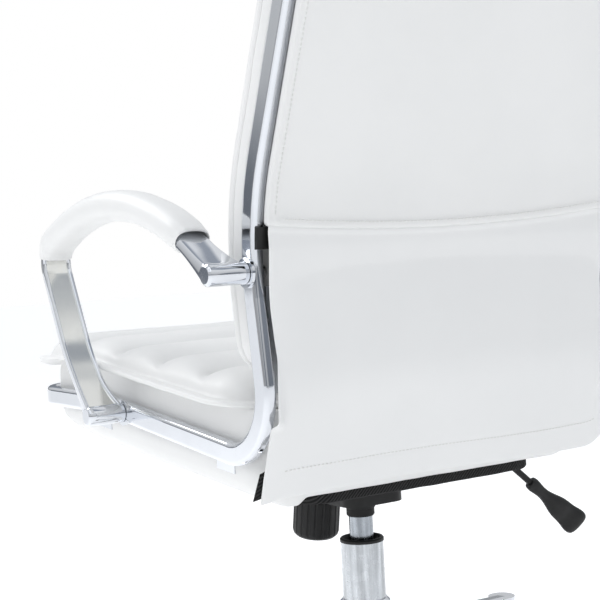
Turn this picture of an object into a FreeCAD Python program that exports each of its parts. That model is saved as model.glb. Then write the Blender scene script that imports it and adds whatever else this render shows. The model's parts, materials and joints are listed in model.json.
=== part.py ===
"""Swivel office chair: chromed tube frame, upholstered seat and back, gas lift and five-star base.

Frame of the part: +Z up, the sitter faces -Y, the sitter's left is +X.
The origin lies on the floor, on the axis of the gas lift. Millimetres.
"""
import FreeCAD, Part
import math
import operator
import os
import Sketcher
from FreeCAD import Placement, Rotation, Vector

doc = FreeCAD.newDocument("swivel_office_chair")
sheet = doc.addObject("Spreadsheet::Sheet", "Sizes")

DIMENSIONS = [
    # fits
    ("running_gap", 0.05, "radial gap of a shaft that turns or slides in its hole"),
    ("face_gap", 0.4, "gap between soft faces, and between faces of different bodies"),
    # casters and star base
    ("wheel_dia", 50, "caster wheel"),
    ("wheel_width", 17, "one wheel of the twin caster"),
    ("wheel_inset", 2.5, "half of the gap between the twin wheels' inner faces and the hood's web"),
    ("caster_trail", 20, "distance from the stem's axis back to the axle"),
    ("stem_dia", 11, "caster stem"),
    ("axle_dia", 8, "caster axle"),
    ("base_radius", 305, "gas lift axis to a caster stem"),
    ("leg_end_low", 60, "underside of a leg's end"),
    ("leg_end_high", 82, "top of a leg's end"),
    ("leg_end_dia", 36, "round boss at a leg's end"),
    ("leg_tip_width", 30, "width of a leg at its end"),
    ("leg_root_width", 52, "width of a leg at the hub"),
    ("leg_root_low", 76, "underside of a leg at the hub"),
    ("leg_root_high", 113, "top of a leg at the hub"),
    ("hub_dia", 66, "hub of the star base"),
    ("hub_low", 72, "underside of the hub"),
    ("hub_high", 151.5, "top of the hub"),
    # gas lift
    ("column_dia", 50, "outer tube of the gas lift"),
    ("column_wall", 2, "its wall"),
    ("column_low", 68, "its lower end"),
    ("column_high", 218.5, "its upper end"),
    ("ring_dia", 51.6, "plastic ring on the column's mouth"),
    ("ring_high", 223, "top of that ring"),
    ("ring_bore", 35, "mouth of that ring"),
    ("bushing_low", 150, "lower end of the guide bushing"),
    ("cylinder_dia", 28, "gas cylinder, the bright inner tube"),
    ("cylinder_low", 94, "its lower end with the lift down"),
    ("cylinder_high", 279, "its upper end, in the tilt housing"),
    ("cylinder_wall", 2, "its wall"),
    ("rod_dia", 10, "piston rod, which stands on the column's floor"),
    ("button_dia", 8, "valve button on top of the gas cylinder"),
    ("button_high", 283.5, "top of the valve button"),
    # tilt mechanism
    ("housing_width", 80, "tilt housing across the chair"),
    ("housing_low", 266, "floor of the housing's deep end"),
    ("housing_high", 290, "rim of the housing"),
    ("housing_rear", 40, "rear end of the housing"),
    ("housing_step", -58, "where the deep end begins"),
    ("housing_front", -130, "front end of the housing"),
    ("spring_floor", 283, "underside of the housing's shallow end, which the spring bears on"),
    ("housing_wall", 3, "pressed steel"),
    ("collar_low", 248.3, "lower end of the rubber collar under the housing"),
    ("collar_dia", 33, "its lower, narrow part"),
    ("pivot_y", -30, "tilt pivot"),
    ("pivot_z", 280, "tilt pivot"),
    ("pivot_dia", 10, "tilt pivot shaft"),
    ("knob_y", -90, "centre of the tension knob's mouth"),
    ("knob_z", 260, "centre of the tension knob's mouth"),
    ("knob_lean", 10, "degrees that the knob's foot leans forward"),
    ("knob_dia", 57, "tension knob"),
    ("knob_length", 50, "tension knob"),
    ("knob_bore", 46, "hollow of the knob, round the spring"),
    ("knob_floor", 8, "thickness of the knob's closed end"),
    ("stud_dia", 8, "tension stud"),
    ("spring_dia", 30, "tilt spring, mean coil"),
    ("spring_wire", 4, "its wire"),
    ("wing_low", -73, "underside of the seat plate's dished wings, from the seat's plane"),
    ("lever_z", 288, "lever rod above the valve button"),
    ("lever_dia", 8, "lever rod"),
    ("lever_pivot_x", -45, "lever's pivot, in its bush"),
    ("bush_dia", 16, "lever bush in the housing's wall"),
    # tube frame, in the chair's side view
    ("tube_depth", 24, "frame tube, seen from the side"),
    ("tube_width", 14, "frame tube, across the chair"),
    ("tube_wall", 1.8, "frame tube"),
    ("tube_x", 228, "centre of a side tube"),
    ("front_y", -386, "front cross tube"),
    ("front_z", 391, "front cross tube"),
    ("rail_y", -190, "turn of the rail under the thighs"),
    ("rail_z", 391, "turn of the rail under the thighs"),
    ("heel_y", 183, "where the rail and the upright would meet"),
    ("heel_z", 352, "where the rail and the upright would meet"),
    ("lumbar_y", 158, "turn of the upright behind the lumbar"),
    ("lumbar_z", 590, "turn of the upright behind the lumbar"),
    ("shoulder_y", 290, "turn of the upright behind the shoulders"),
    ("shoulder_z", 901, "turn of the upright behind the shoulders"),
    ("crown_y", 328, "top cross tube"),
    ("crown_z", 1052, "top cross tube"),
    ("corner_radius", 46, "bends into the cross tubes"),
    ("rail_radius", 900, "bend of the rail under the thighs"),
    ("heel_radius", 66, "bend between rail and upright"),
    ("lumbar_radius", 280, "bend behind the lumbar"),
    ("shoulder_radius", 420, "bend behind the shoulders"),
    # arms
    ("arm_width", 36, "arm strip across the chair"),
    ("arm_thick", 12, "arm strip"),
    ("sleeve_width", 42, "padded sleeve on the arm"),
    ("sleeve_thick", 34, "padded sleeve on the arm"),
    ("boss_dia", 22, "round bosses that carry the arm"),
    ("boss_length", 45, "those bosses"),
    ("washer_dia", 30, "washer between boss and frame"),
    ("washer_thick", 3, "that washer"),
    ("arm_front_y", -128, "front boss"),
    ("arm_front_z", 386, "front boss"),
    ("arm_rear_y", 165, "rear boss"),
    ("arm_rear_z", 544, "rear boss"),
    # upholstery, as heights over the seat's plane, which leans back beside the rails
    ("seat_slope", 4.3, "degrees that the seat's plane falls to the rear"),
    ("seat_z", 368, "height of the seat's plane over the gas lift"),
    ("seat_width", 432, "leather-wrapped seat base between the rails"),
    ("tab_low", -24, "feet of the frame's tabs"),
    ("seat_top", 38, "top of the seat base"),
    ("seat_side_low", -34, "underside of the seat base at the rails"),
    ("seat_low", -47, "underside of the seat base in the middle"),
    ("board_low", -59, "underside of the plywood seat board"),
    ("cover_low", -61, "underside of the black dust cover"),
    ("board_width", 320, "seat board"),
    ("seat_front", 371, "seat base, forward of the gas lift"),
    ("seat_rear", 150, "seat base, behind the gas lift"),
    ("pad_width", 488, "quilted seat pad"),
    ("pad_top", 80, "top of the seat pad"),
    ("pad_front", 385, "seat pad, forward of the gas lift"),
    ("pad_rear", 140, "seat pad, behind the gas lift"),
    ("pad_corner", 45, "corner radius of the seat pad"),
    ("back_pad_width", 466, "quilted back pad"),
    ("back_pad_thick", 34, "quilted back pad"),
    ("back_width", 432, "back board and rear cover between the uprights"),
    ("back_low", 448, "lower end of the back pad"),
    ("back_board_thick", 9, "plywood back board"),
    ("cover_thick", 27, "rear leather cover with its foam"),
    ("back_board_low", 452, "lower end of the back board"),
    ("cover_end", 588, "lower end of the rear cover, at the stitched seam"),
    ("back_high", 1029, "top of the back board and rear cover"),
    ("pad_high", 1070, "top of the back pad"),
    ("back_corner", 52, "corners at the top of the back"),
    ("crossbar_low", 566, "lower edge of the steel bar behind the lumbar"),
    ("crossbar_high", 587.5, "upper edge of that bar"),
    ("crossbar_thick", 5, "that bar"),
    ("crossbar_width", 466, "that bar, over the uprights"),
    ("apron_y", 188, "lower rear panel at the height of the seat pad"),
    ("apron_width", 440, "lower rear panel"),
    ("apron_foot_y", 164, "hem of the lower rear panel"),
    ("apron_foot_z", 320, "hem of the lower rear panel"),
    ("apron_thick", 3, "lower rear panel"),
    # screws
    ("screw_dia", 6, "wood screws and plate bolts"),
    ("screw_head_dia", 13, "their heads"),
    ("arm_bolt_dia", 8, "arm bolts"),
]

for row, (alias, number, note) in enumerate(DIMENSIONS, start=1):
    sheet.set(f"A{row}", note)
    sheet.set(f"B{row}", str(number))
    sheet.setAlias(f"B{row}", alias)
doc.recompute()


# ---------------------------------------------------------------- sizes that stay linked to the sheet

class Size:
    """A number together with the sheet expression that gives it."""

    def __init__(self, value, text):
        self.value = value
        self.text = text

    def __add__(self, other):
        return combined(self, "+", other)

    def __sub__(self, other):
        return combined(self, "-", other)

    def __rsub__(self, other):
        return combined(other, "-", self)

    def __mul__(self, other):
        return combined(self, "*", other)

    def __truediv__(self, other):
        return combined(self, "/", other)

    def __neg__(self):
        return combined(0, "-", self)


OPERATIONS = {"+": operator.add, "-": operator.sub, "*": operator.mul, "/": operator.truediv}


def as_size(number):
    return number if isinstance(number, Size) else Size(float(number), repr(float(number)))


def combined(left, sign, right):
    left, right = as_size(left), as_size(right)
    value = OPERATIONS[sign](left.value, right.value)
    return Size(value, f"({left.text} {sign} {right.text})")


def size(alias):
    """The sheet's cell, as a linked size."""
    return Size(float(getattr(sheet, alias)), "Sizes." + alias)


def num(alias):
    """The sheet's cell, as a plain number for shapes made with Part's own functions."""
    return float(getattr(sheet, alias))


def bind(obj, **links):
    for name, amount in links.items():
        amount = as_size(amount)
        setattr(obj, name, amount.value)
        obj.setExpression(name, amount.text)


def place(obj, at=(0, 0, 0), turn=Rotation()):
    """Put an object at a point whose coordinates stay linked to the sheet."""
    spots = [as_size(coordinate) for coordinate in at]
    obj.Placement = Placement(Vector(*[spot.value for spot in spots]), turn)
    for letter, spot in zip("xyz", spots):
        obj.setExpression("Placement.Base." + letter, spot.text)
    return obj


def turn_z_to(direction):
    return Rotation(Vector(0, 0, 1), Vector(*direction))


# ---------------------------------------------------------------- Part primitives and booleans

def cylinder(name, dia, height, at=(0, 0, 0), along=(0, 0, 1)):
    obj = doc.addObject("Part::Cylinder", name)
    bind(obj, Radius=as_size(dia) / 2, Height=height)
    return place(obj, at, turn_z_to(along))


def cone(name, low_dia, high_dia, height, at=(0, 0, 0), along=(0, 0, 1)):
    obj = doc.addObject("Part::Cone", name)
    bind(obj, Radius1=as_size(low_dia) / 2, Radius2=as_size(high_dia) / 2, Height=height)
    return place(obj, at, turn_z_to(along))


def box(name, low, high, turn=Rotation()):
    """A box between two corners."""
    obj = doc.addObject("Part::Box", name)
    sides = [as_size(b) - as_size(a) for a, b in zip(low, high)]
    bind(obj, Length=sides[0], Width=sides[1], Height=sides[2])
    return place(obj, low, turn)


def rounded(name, base, radius, along):
    """Fillet every straight edge of a solid that runs along one direction."""
    doc.recompute()
    obj = doc.addObject("Part::Fillet", name)
    obj.Base = base
    amount = as_size(radius).value
    obj.Edges = [
        (index, amount, amount)
        for index, edge in enumerate(base.Shape.Edges, start=1)
        if isinstance(edge.Curve, Part.Line) and abs(edge.tangentAt(edge.FirstParameter).dot(along)) > 0.999
    ]
    return obj


def fuse(name, *shapes):
    obj = doc.addObject("Part::MultiFuse", name)
    obj.Shapes = list(shapes)
    return obj


def cut(name, base, *tools):
    obj = doc.addObject("Part::Cut", name)
    obj.Base = base
    obj.Tool = tools[0] if len(tools) == 1 else fuse(name + "_tools", *tools)
    return obj


def group(name, shapes):
    """Identical pieces that share a node and stay separate solids."""
    obj = doc.addObject("Part::Compound", name)
    obj.Links = list(shapes)
    return obj


def tube(name, outer_dia, inner_dia, height, at=(0, 0, 0), along=(0, 0, 1)):
    outside = cylinder(name + "_outside", outer_dia, height, at, along)
    inside = cylinder(name + "_inside", inner_dia, height, at, along)
    return cut(name, outside, inside)


# ---------------------------------------------------------------- PartDesign bodies

def new_body(name):
    return doc.addObject("PartDesign::Body", name)


def origin_feature(body, role):
    return next(feature for feature in body.Origin.OriginFeatures if feature.Role == role)


def new_sketch(body, name, role="XY_Plane", lift=0):
    sketch = body.newObject("Sketcher::SketchObject", name)
    sketch.AttachmentSupport = (origin_feature(body, role), [""])
    sketch.MapMode = "FlatFace"
    lift = as_size(lift)
    sketch.AttachmentOffset = Placement(Vector(0, 0, lift.value), Rotation())
    sketch.setExpression("AttachmentOffset.Base.z", lift.text)
    return sketch


def pin_point(sketch, element, which, spot):
    """Hold one point of a sketch at linked distances from the sketch's origin."""
    for kind, amount in zip(("DistanceX", "DistanceY"), spot):
        amount = as_size(amount)
        index = sketch.addConstraint(Sketcher.Constraint(kind, -1, 1, element, which, amount.value))
        name = f"{kind}_{element}_{which}"
        sketch.renameConstraint(index, name)
        sketch.setExpression("Constraints." + name, amount.text)


def draw_outline(sketch, corners):
    """Closed polygon through linked corners."""
    spots = [Vector(as_size(a).value, as_size(b).value, 0) for a, b in corners]
    lines = []
    for here, after in zip(spots, spots[1:] + spots[:1]):
        lines.append(sketch.addGeometry(Part.LineSegment(here, after), False))
    for line, after in zip(lines, lines[1:] + lines[:1]):
        sketch.addConstraint(Sketcher.Constraint("Coincident", line, 2, after, 1))
    for line, spot in zip(lines, corners):
        pin_point(sketch, line, 1, spot)
    return sketch


def draw_circle(sketch, dia, centre=(0, 0)):
    radius = as_size(dia) / 2
    spot = Vector(as_size(centre[0]).value, as_size(centre[1]).value, 0)
    circle = sketch.addGeometry(Part.Circle(spot, Vector(0, 0, 1), radius.value), False)
    index = sketch.addConstraint(Sketcher.Constraint("Radius", circle, radius.value))
    name = f"Radius_{circle}"
    sketch.renameConstraint(index, name)
    sketch.setExpression("Constraints." + name, radius.text)
    pin_point(sketch, circle, 3, centre)
    return sketch


def pad(body, sketch, length):
    feature = body.newObject("PartDesign::Pad", sketch.Name + "_pad")
    feature.Profile = sketch
    bind(feature, Length=length)
    return feature


def pocket(body, sketch, length, reverse=False):
    feature = body.newObject("PartDesign::Pocket", sketch.Name + "_pocket")
    feature.Profile = sketch
    feature.Reversed = reverse
    bind(feature, Length=length)
    return feature


def revolve(body, sketch):
    feature = body.newObject("PartDesign::Revolution", sketch.Name + "_revolution")
    feature.Profile = sketch
    feature.ReferenceAxis = (sketch, ["V_Axis"])
    feature.Angle = 360
    return feature


def turned(name, corners):
    """A piece turned on the lathe: corners are (radius, height) round the body's own Z axis."""
    body = new_body(name)
    revolve(body, draw_outline(new_sketch(body, name + "_profile", "XZ_Plane"), corners))
    return body


def polar_pattern(body, features, count):
    pattern = body.newObject("PartDesign::PolarPattern", body.Name + "_pattern")
    pattern.Originals = features
    pattern.Axis = (origin_feature(body, "Z_Axis"), [""])
    pattern.Angle = 360
    pattern.Occurrences = count
    body.Tip = pattern
    return pattern


# ---------------------------------------------------------------- bars that follow a bent centreline

def rounded_section(width, thick, radius, rise=0.0):
    """Flat face, width along local X and thickness along local Y, lifted off the centreline by rise."""
    half_w, half_t = width / 2, thick / 2
    r = min(radius, half_w - 0.01, half_t - 0.01)
    edges = []
    centres = [(1, 1, 0), (-1, 1, 90), (-1, -1, 180), (1, -1, 270)]
    arcs = []
    for sign_x, sign_y, start in centres:
        centre = Vector(sign_x * (half_w - r), sign_y * (half_t - r) + rise, 0)
        circle = Part.Circle(centre, Vector(0, 0, 1), r)
        arcs.append(Part.Arc(circle, math.radians(start), math.radians(start + 90)))
    for here, after in zip(arcs, arcs[1:] + arcs[:1]):
        edges.append(here.toShape())
        edges.append(Part.LineSegment(here.EndPoint, after.StartPoint).toShape())
    return Part.Face(Part.Wire(edges))


def round_section(dia):
    return Part.Face(Part.Wire(Part.Circle(Vector(), Vector(0, 0, 1), dia / 2).toShape()))


def stood_on(face, start, along, across):
    """Carry a flat face to the start of a bar: local X goes across, local Z goes along."""
    along = Vector(along).normalize()
    across = Vector(across).normalize()
    normal = along.cross(across)
    matrix = FreeCAD.Matrix(
        across.x, normal.x, along.x, start.x,
        across.y, normal.y, along.y, start.y,
        across.z, normal.z, along.z, start.z,
        0, 0, 0, 1)
    moved = face.copy()
    moved.Placement = Placement(matrix)
    return moved


def bent_bar(face, corners, radii, across):
    """Solid that carries a face along straight legs joined by tangent arcs."""
    face = stood_on(face, corners[0], corners[1] - corners[0], across)
    here = corners[0]
    solids = []
    for corner, after, radius in zip(corners[1:], corners[2:], radii):
        leg = (corner - here).normalize()
        onward = (after - corner).normalize()
        bend = leg.getAngle(onward)
        setback = radius * math.tan(bend / 2)
        start = corner - leg * setback
        solids.append(face.extrude(start - here))
        face.translate(start - here)
        axis = leg.cross(onward).normalize()
        centre = start + axis.cross(leg) * radius
        solids.append(face.revolve(centre, axis, math.degrees(bend)))
        face.rotate(centre, axis, math.degrees(bend))
        here = corner + onward * setback
    solids.append(face.extrude(corners[-1] - here))
    return solids[0].multiFuse(solids[1:]).removeSplitter()


def shaped(name, shape):
    """A document object that holds a shape made with Part's own functions."""
    obj = doc.addObject("Part::Feature", name)
    obj.Shape = shape
    return obj


def mirrored(name, source):
    obj = doc.addObject("Part::Mirroring", name)
    obj.Source = source
    obj.Normal = Vector(1, 0, 0)
    return obj


# ---------------------------------------------------------------- shared lines of the side view

ACROSS = Vector(1, 0, 0)


def side_point(x, y_alias, z_alias):
    return Vector(x, num(y_alias), num(z_alias))


SEAT_PLANE = Placement(Vector(0, 0, num("seat_z")), Rotation(ACROSS, -num("seat_slope")))


def on_seat_plane(obj):
    """Lay an object built over the floor's origin on the seat's tilted plane."""
    doc.recompute()
    obj.Placement = SEAT_PLANE.multiply(obj.Placement)
    return obj


def upright_y(z):
    """Distance of the upright's centreline behind the gas lift, below the lumbar bend."""
    share = (z - num("heel_z")) / (num("lumbar_z") - num("heel_z"))
    return num("heel_y") + share * (num("lumbar_y") - num("heel_y"))


def back_line(low, high):
    """Corners of the back's centreline between two heights, with the bends' radii."""
    lumbar = side_point(0, "lumbar_y", "lumbar_z")
    shoulder = side_point(0, "shoulder_y", "shoulder_z")
    crown = side_point(0, "crown_y", "crown_z")
    share = (high - shoulder.z) / (crown.z - shoulder.z)
    top = shoulder + (crown - shoulder) * share
    corners = [Vector(0, upright_y(low), low), lumbar, shoulder, top]
    return corners, [num("lumbar_radius"), num("shoulder_radius")]


# ---------------------------------------------------------------- star base and gas lift

def star_base():
    body = new_body("star_base")
    bore = size("column_dia") / 2
    hub = size("hub_dia") / 2
    low, high = size("hub_low"), size("hub_high")
    profile = [(bore, low), (hub - 4, low), (hub, low + 4), (hub, high - 14), (hub - 1, high - 8), (hub - 3.5, high - 3), (hub - 6.5, high), (bore, high)]
    revolve(body, draw_outline(new_sketch(body, "hub_profile", "XZ_Plane"), profile))
    sections = [
        ("leg_root", bore + 3, size("leg_root_width"), size("leg_root_low"), size("leg_root_high")),
        ("leg_tip", size("base_radius"), size("leg_tip_width"), size("leg_end_low"), size("leg_end_high")),
    ]
    sketches = []
    for name, reach, width, bottom, top in sections:
        half = width / 2
        rise = top - bottom
        corners = [(-half, bottom), (half, bottom), (half, bottom + rise * 0.45), (half * 0.78, bottom + rise * 0.8),
                   (half * 0.38, top), (half * -0.38, top), (half * -0.78, bottom + rise * 0.8),
                   (-half, bottom + rise * 0.45)]
        sketches.append(draw_outline(new_sketch(body, name, "YZ_Plane", reach), corners))
    leg = body.newObject("PartDesign::AdditiveLoft", "leg_loft")
    leg.Profile = sketches[0]
    leg.Sections = [sketches[1]]
    boss_sketch = new_sketch(body, "leg_end", "XY_Plane", size("leg_end_low"))
    draw_circle(boss_sketch, size("leg_end_dia"), (size("base_radius"), 0))
    boss = pad(body, boss_sketch, size("leg_end_high") - size("leg_end_low"))
    socket_sketch = new_sketch(body, "stem_socket", "XY_Plane", size("leg_end_low"))
    draw_circle(socket_sketch, size("stem_dia") + size("running_gap") * 2, (size("base_radius"), 0))
    socket = pocket(body, socket_sketch, 18, reverse=True)
    doc.recompute()
    polar_pattern(body, [leg, boss, socket], 5)
    body.Placement = Placement(Vector(), Rotation(Vector(0, 0, 1), -90))
    return body


def base_column():
    low, high = size("column_low"), size("column_high")
    wall = size("column_wall")
    outside = cylinder("column_outside", size("column_dia"), high - low, (0, 0, low))
    inside = cylinder("column_inside", size("column_dia") - wall * 2, high - low, (0, 0, low + 3))
    hole = cylinder("column_hole", size("rod_dia") + size("running_gap") * 2, 10, (0, 0, low - 2))
    return cut("base_column", outside, inside, hole)


def column_ring():
    inner = size("column_dia") / 2 - size("column_wall")
    bore, rim = size("ring_bore") / 2, size("ring_dia") / 2
    mouth, top = size("column_high"), size("ring_high")
    return turned("column_ring", [
        (bore, mouth - 8), (inner, mouth - 8), (inner, mouth), (rim, mouth), (rim, top - 1.5),
        (rim - 1.2, top), (rim - 3.5, top), (rim - 5, top - 2.5), (bore, top - 4.5)])


def guide_bushing():
    low = size("bushing_low")
    return tube(
        "guide_bushing", size("column_dia") - size("column_wall") * 2,
        size("cylinder_dia") + size("running_gap") * 2, size("column_high") - 8.5 - low, (0, 0, low))


def thrust_bearing():
    return tube("thrust_bearing", 24, size("rod_dia") + 0.6, 8, (0, 0, size("column_low") + 3))


def piston_rod():
    low = size("column_low")
    rod = cylinder("rod_bar", size("rod_dia"), 176, (0, 0, low - 4))
    shoulder = cylinder("rod_shoulder", 19, 4, (0, 0, low + 11.3))
    head_dia = size("cylinder_dia") - size("cylinder_wall") * 2 - size("running_gap") * 2
    head = cylinder("piston_head", head_dia, 12, (0, 0, low + 166))
    return fuse("piston_rod", rod, shoulder, head)


def rod_clip():
    return tube("rod_clip", 18, size("rod_dia"), 2, (0, 0, size("column_low") - 2.4))


def gas_cylinder():
    low, high = size("cylinder_low"), size("cylinder_high")
    dia, wall = size("cylinder_dia"), size("cylinder_wall")
    neck = high - 15
    barrel = cylinder("barrel", dia, neck - low, (0, 0, low))
    taper = cone("taper", dia, dia - 1.2, 15, (0, 0, neck))
    chamber = cylinder("chamber", dia - wall * 2, neck - low - 11, (0, 0, low + 5))
    gland = cylinder("gland", size("rod_dia") + size("running_gap") * 2, 20, (0, 0, low - 5))
    valve_bore = cylinder("valve_bore", size("button_dia") + size("running_gap") * 2, 30, (0, 0, neck - 8))
    return cut("gas_cylinder", fuse("barrel_blank", barrel, taper), chamber, gland, valve_bore)


def valve_button():
    high = size("button_high")
    return turned("valve_button", [
        (0, high - 18), (size("button_dia") / 2, high - 18), (size("button_dia") / 2, high - 1),
        (size("button_dia") / 2 - 1, high), (0, high)])


# ---------------------------------------------------------------- tilt mechanism

def housing_block(name, grow, front, rear, low, high):
    """One block of the housing: its outside with grow 0, its hollow with the wall's thickness."""
    half = size("housing_width") / 2 - grow
    blank = box(name + "_blank", (-half, front, low), (half, rear, high))
    return rounded(name, blank, 18 - as_size(grow).value, Vector(0, 0, 1))


def tilt_housing():
    wall = size("housing_wall")
    low, high = size("housing_low"), size("housing_high")
    front, step, rear = size("housing_front"), size("housing_step"), size("housing_rear")
    spring_floor = size("spring_floor")
    deep = housing_block("deep_block", 0, step, rear, low, high)
    shallow = housing_block("shallow_block", 0, front, step + 20, spring_floor, high)
    socket = cylinder("socket", size("cylinder_dia") + 9, 15, (0, 0, low))
    deep_hollow = housing_block("deep_hollow", wall, step + wall, rear - wall, low + wall, high + 5)
    shallow_hollow = housing_block("shallow_hollow", wall, front + wall, step + 23, spring_floor + wall, high + 5)
    shell = cut("housing_shell", fuse("housing_blank", deep, shallow), deep_hollow, shallow_hollow)
    half = size("housing_width") / 2
    ear_foot = box("bush_ear_foot", (-half, -14, low + 4), (-half + wall, 14, size("lever_z")))
    ear = fuse("bush_ear", ear_foot, cylinder("bush_ear_end", 21, wall, (-half, 0, size("lever_z")), (1, 0, 0)))
    bore = cylinder("socket_bore", size("cylinder_dia") + 0.04, 40, (0, 0, low - 5))
    stud_slot = cylinder("stud_hole", 15, 20, (0, size("knob_y") + 4, spring_floor - 8))
    pivot_hole = cylinder(
        "pivot_hole", size("pivot_dia"), half * 2 + 10, (-half - 5, size("pivot_y"), size("pivot_z")), (1, 0, 0))
    bush_hole = cylinder(
        "bush_hole", size("bush_dia") + size("running_gap") * 2, 20, (-half - 10, 0, size("lever_z")), (1, 0, 0))
    return cut("tilt_housing", fuse("housing_with_socket", shell, socket, ear), bore, stud_slot, pivot_hole, bush_hole)


def socket_collar():
    inner = size("cylinder_dia") / 2 + size("face_gap")
    narrow, low, top = size("collar_dia") / 2, size("collar_low"), size("housing_low")
    return turned("socket_collar", [
        (inner, low), (narrow - 1.5, low), (narrow, low + 1.5), (narrow, low + 9), (narrow + 1, low + 10),
        (narrow + 3, top - 2), (narrow + 3, top), (inner, top)])


def pivot_shaft():
    reach = size("housing_width") / 2 + 9
    return cylinder(
        "pivot_shaft", size("pivot_dia"), reach * 2, (-reach, size("pivot_y"), size("pivot_z")), (1, 0, 0))


def pivot_clips():
    clips = []
    for side in (-1, 1):
        near = (size("housing_width") / 2 + 5) * side if side > 0 else -(size("housing_width") / 2 + 7)
        clips.append(tube(f"pivot_clip_{'left' if side > 0 else 'right'}", 16, size("pivot_dia"), 2,
                          (near, size("pivot_y"), size("pivot_z")), (1, 0, 0)))
    return group("pivot_clips", clips)


LEAN = math.radians(num("knob_lean"))
STUD_UP = Vector(0, math.sin(LEAN), math.cos(LEAN))
KNOB_MOUTH = Vector(0, num("knob_y"), num("knob_z"))


def along_stud(distance):
    """A point on the stud's axis, so far above the knob's mouth."""
    return KNOB_MOUTH + STUD_UP * distance


def tilt_spring():
    """Coil spring round the stud, from the spring seat up to the housing."""
    wire = num("spring_wire")
    low = num("knob_floor") - num("knob_length") + 3 + wire / 2 + 0.6
    high = (num("spring_floor") - num("knob_z")) / math.cos(LEAN) - wire / 2 - 3.2
    turns = 5.5
    helix = Part.makeHelix((high - low) / turns, high - low, num("spring_dia") / 2)
    start = Vector(num("spring_dia") / 2, 0, 0)
    section = Part.Wire(Part.Circle(start, Vector(0, 1, 0), wire / 2).toShape())
    coil = Part.Wire(helix.Edges).makePipeShell([section], True, True)
    obj = shaped("tilt_spring", coil)
    obj.Placement = Placement(along_stud(low), turn_z_to(STUD_UP))
    return obj


def spring_seat():
    low = along_stud(num("knob_floor") - num("knob_length") + 0.3)
    obj = tube("spring_seat", 42, size("stud_dia") + size("running_gap") * 2, 3)
    obj.Placement = Placement(low, turn_z_to(STUD_UP))
    return obj


def tension_knob():
    """Fluted cup with a threaded floor; its own Z axis points up the stud from the closed end."""
    body = new_body("tension_knob")
    rim, bore = size("knob_dia") / 2, size("knob_bore") / 2
    height, floor = size("knob_length"), size("knob_floor")
    thread = size("stud_dia") / 2 + size("running_gap")
    profile = [(thread, 1.5), (rim - 9, 0), (rim - 4, 1.2), (rim - 1.2, 4), (rim, 8),
               (rim, height - 2), (rim - 1.5, height), (bore, height), (bore, floor), (thread, floor)]
    revolve(body, draw_outline(new_sketch(body, "knob_profile", "XZ_Plane"), profile))
    flute_sketch = new_sketch(body, "flute", "XY_Plane")
    draw_circle(flute_sketch, 4.4, (rim + 1.1, 0))
    flute = pocket(body, flute_sketch, height, reverse=True)
    doc.recompute()
    polar_pattern(body, [flute], 20)
    body.Placement = Placement(along_stud(-num("knob_length")), turn_z_to(STUD_UP))
    return body


def lever_bush():
    pivot = size("lever_pivot_x")
    spot = (pivot + 11, 0, size("lever_z"))
    sleeve = cylinder("bush_sleeve", size("bush_dia"), 20, spot, (-1, 0, 0))
    flange = cylinder("bush_flange", size("bush_dia") + 5, 4, (pivot - 9, 0, size("lever_z")), (-1, 0, 0))
    bore = cylinder("bush_bore", size("lever_dia") + 2.4, 40, (pivot + 20, 0, size("lever_z")), (-1, 0, 0))
    return cut("lever_bush", fuse("bush_blank", sleeve, flange), bore)


LEVER_GRIP = Vector(-232, 38, 259)
LEVER_END = Vector(-298, 51, 197)
LEVER_SLOPE = (LEVER_END - LEVER_GRIP).normalize()
LEVER_KNEE = LEVER_GRIP - LEVER_SLOPE * 38
# way that the paddle's flat face looks, outwards and to the rear
LEVER_FACE = Vector(0.57, 0.82, 0)


def lever_rod():
    inner_end = Vector(8, 0, num("lever_z"))
    first_bend = Vector(-78, 0, num("lever_z"))
    corners = [inner_end, first_bend, LEVER_KNEE, LEVER_GRIP + LEVER_SLOPE * 22]
    return shaped("lever_rod", bent_bar(round_section(num("lever_dia")), corners, [60, 22], Vector(0, 1, 0)))


def lever_handle():
    """Flattened paddle that widens from a round neck to a blunt end."""
    reach = (LEVER_END - LEVER_GRIP).Length
    stations = [(0.0, 7.6, 7.2), (0.1, 8.2, 7.8), (0.22, 7.0, 6.6), (0.4, 9.5, 7.0), (0.65, 14.0, 7.6), (0.86, 16.5, 7.6),
                (0.95, 16.0, 6.8), (0.985, 14.0, 5.0), (1.0, 10.5, 3.2)]
    wires = []
    for share, half_width, half_thick in stations:
        ellipse = Part.Ellipse(Vector(0, 0, share * reach), half_width, half_thick)
        wires.append(Part.Wire(ellipse.toShape()))
    paddle = Part.makeLoft(wires, True)
    socket = Part.makeCylinder(num("lever_dia") / 2, 22, Vector(0, 0, 0))
    obj = shaped("lever_handle", paddle.cut(socket))
    along = Vector(LEVER_SLOPE)
    wide = LEVER_FACE.cross(along).normalize()
    flat = along.cross(wide)
    matrix = FreeCAD.Matrix(
        wide.x, flat.x, along.x, LEVER_GRIP.x,
        wide.y, flat.y, along.y, LEVER_GRIP.y,
        wide.z, flat.z, along.z, LEVER_GRIP.z,
        0, 0, 0, 1)
    obj.Placement = Placement(matrix)
    return obj


# ---------------------------------------------------------------- seat: plate, board, upholstery

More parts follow.
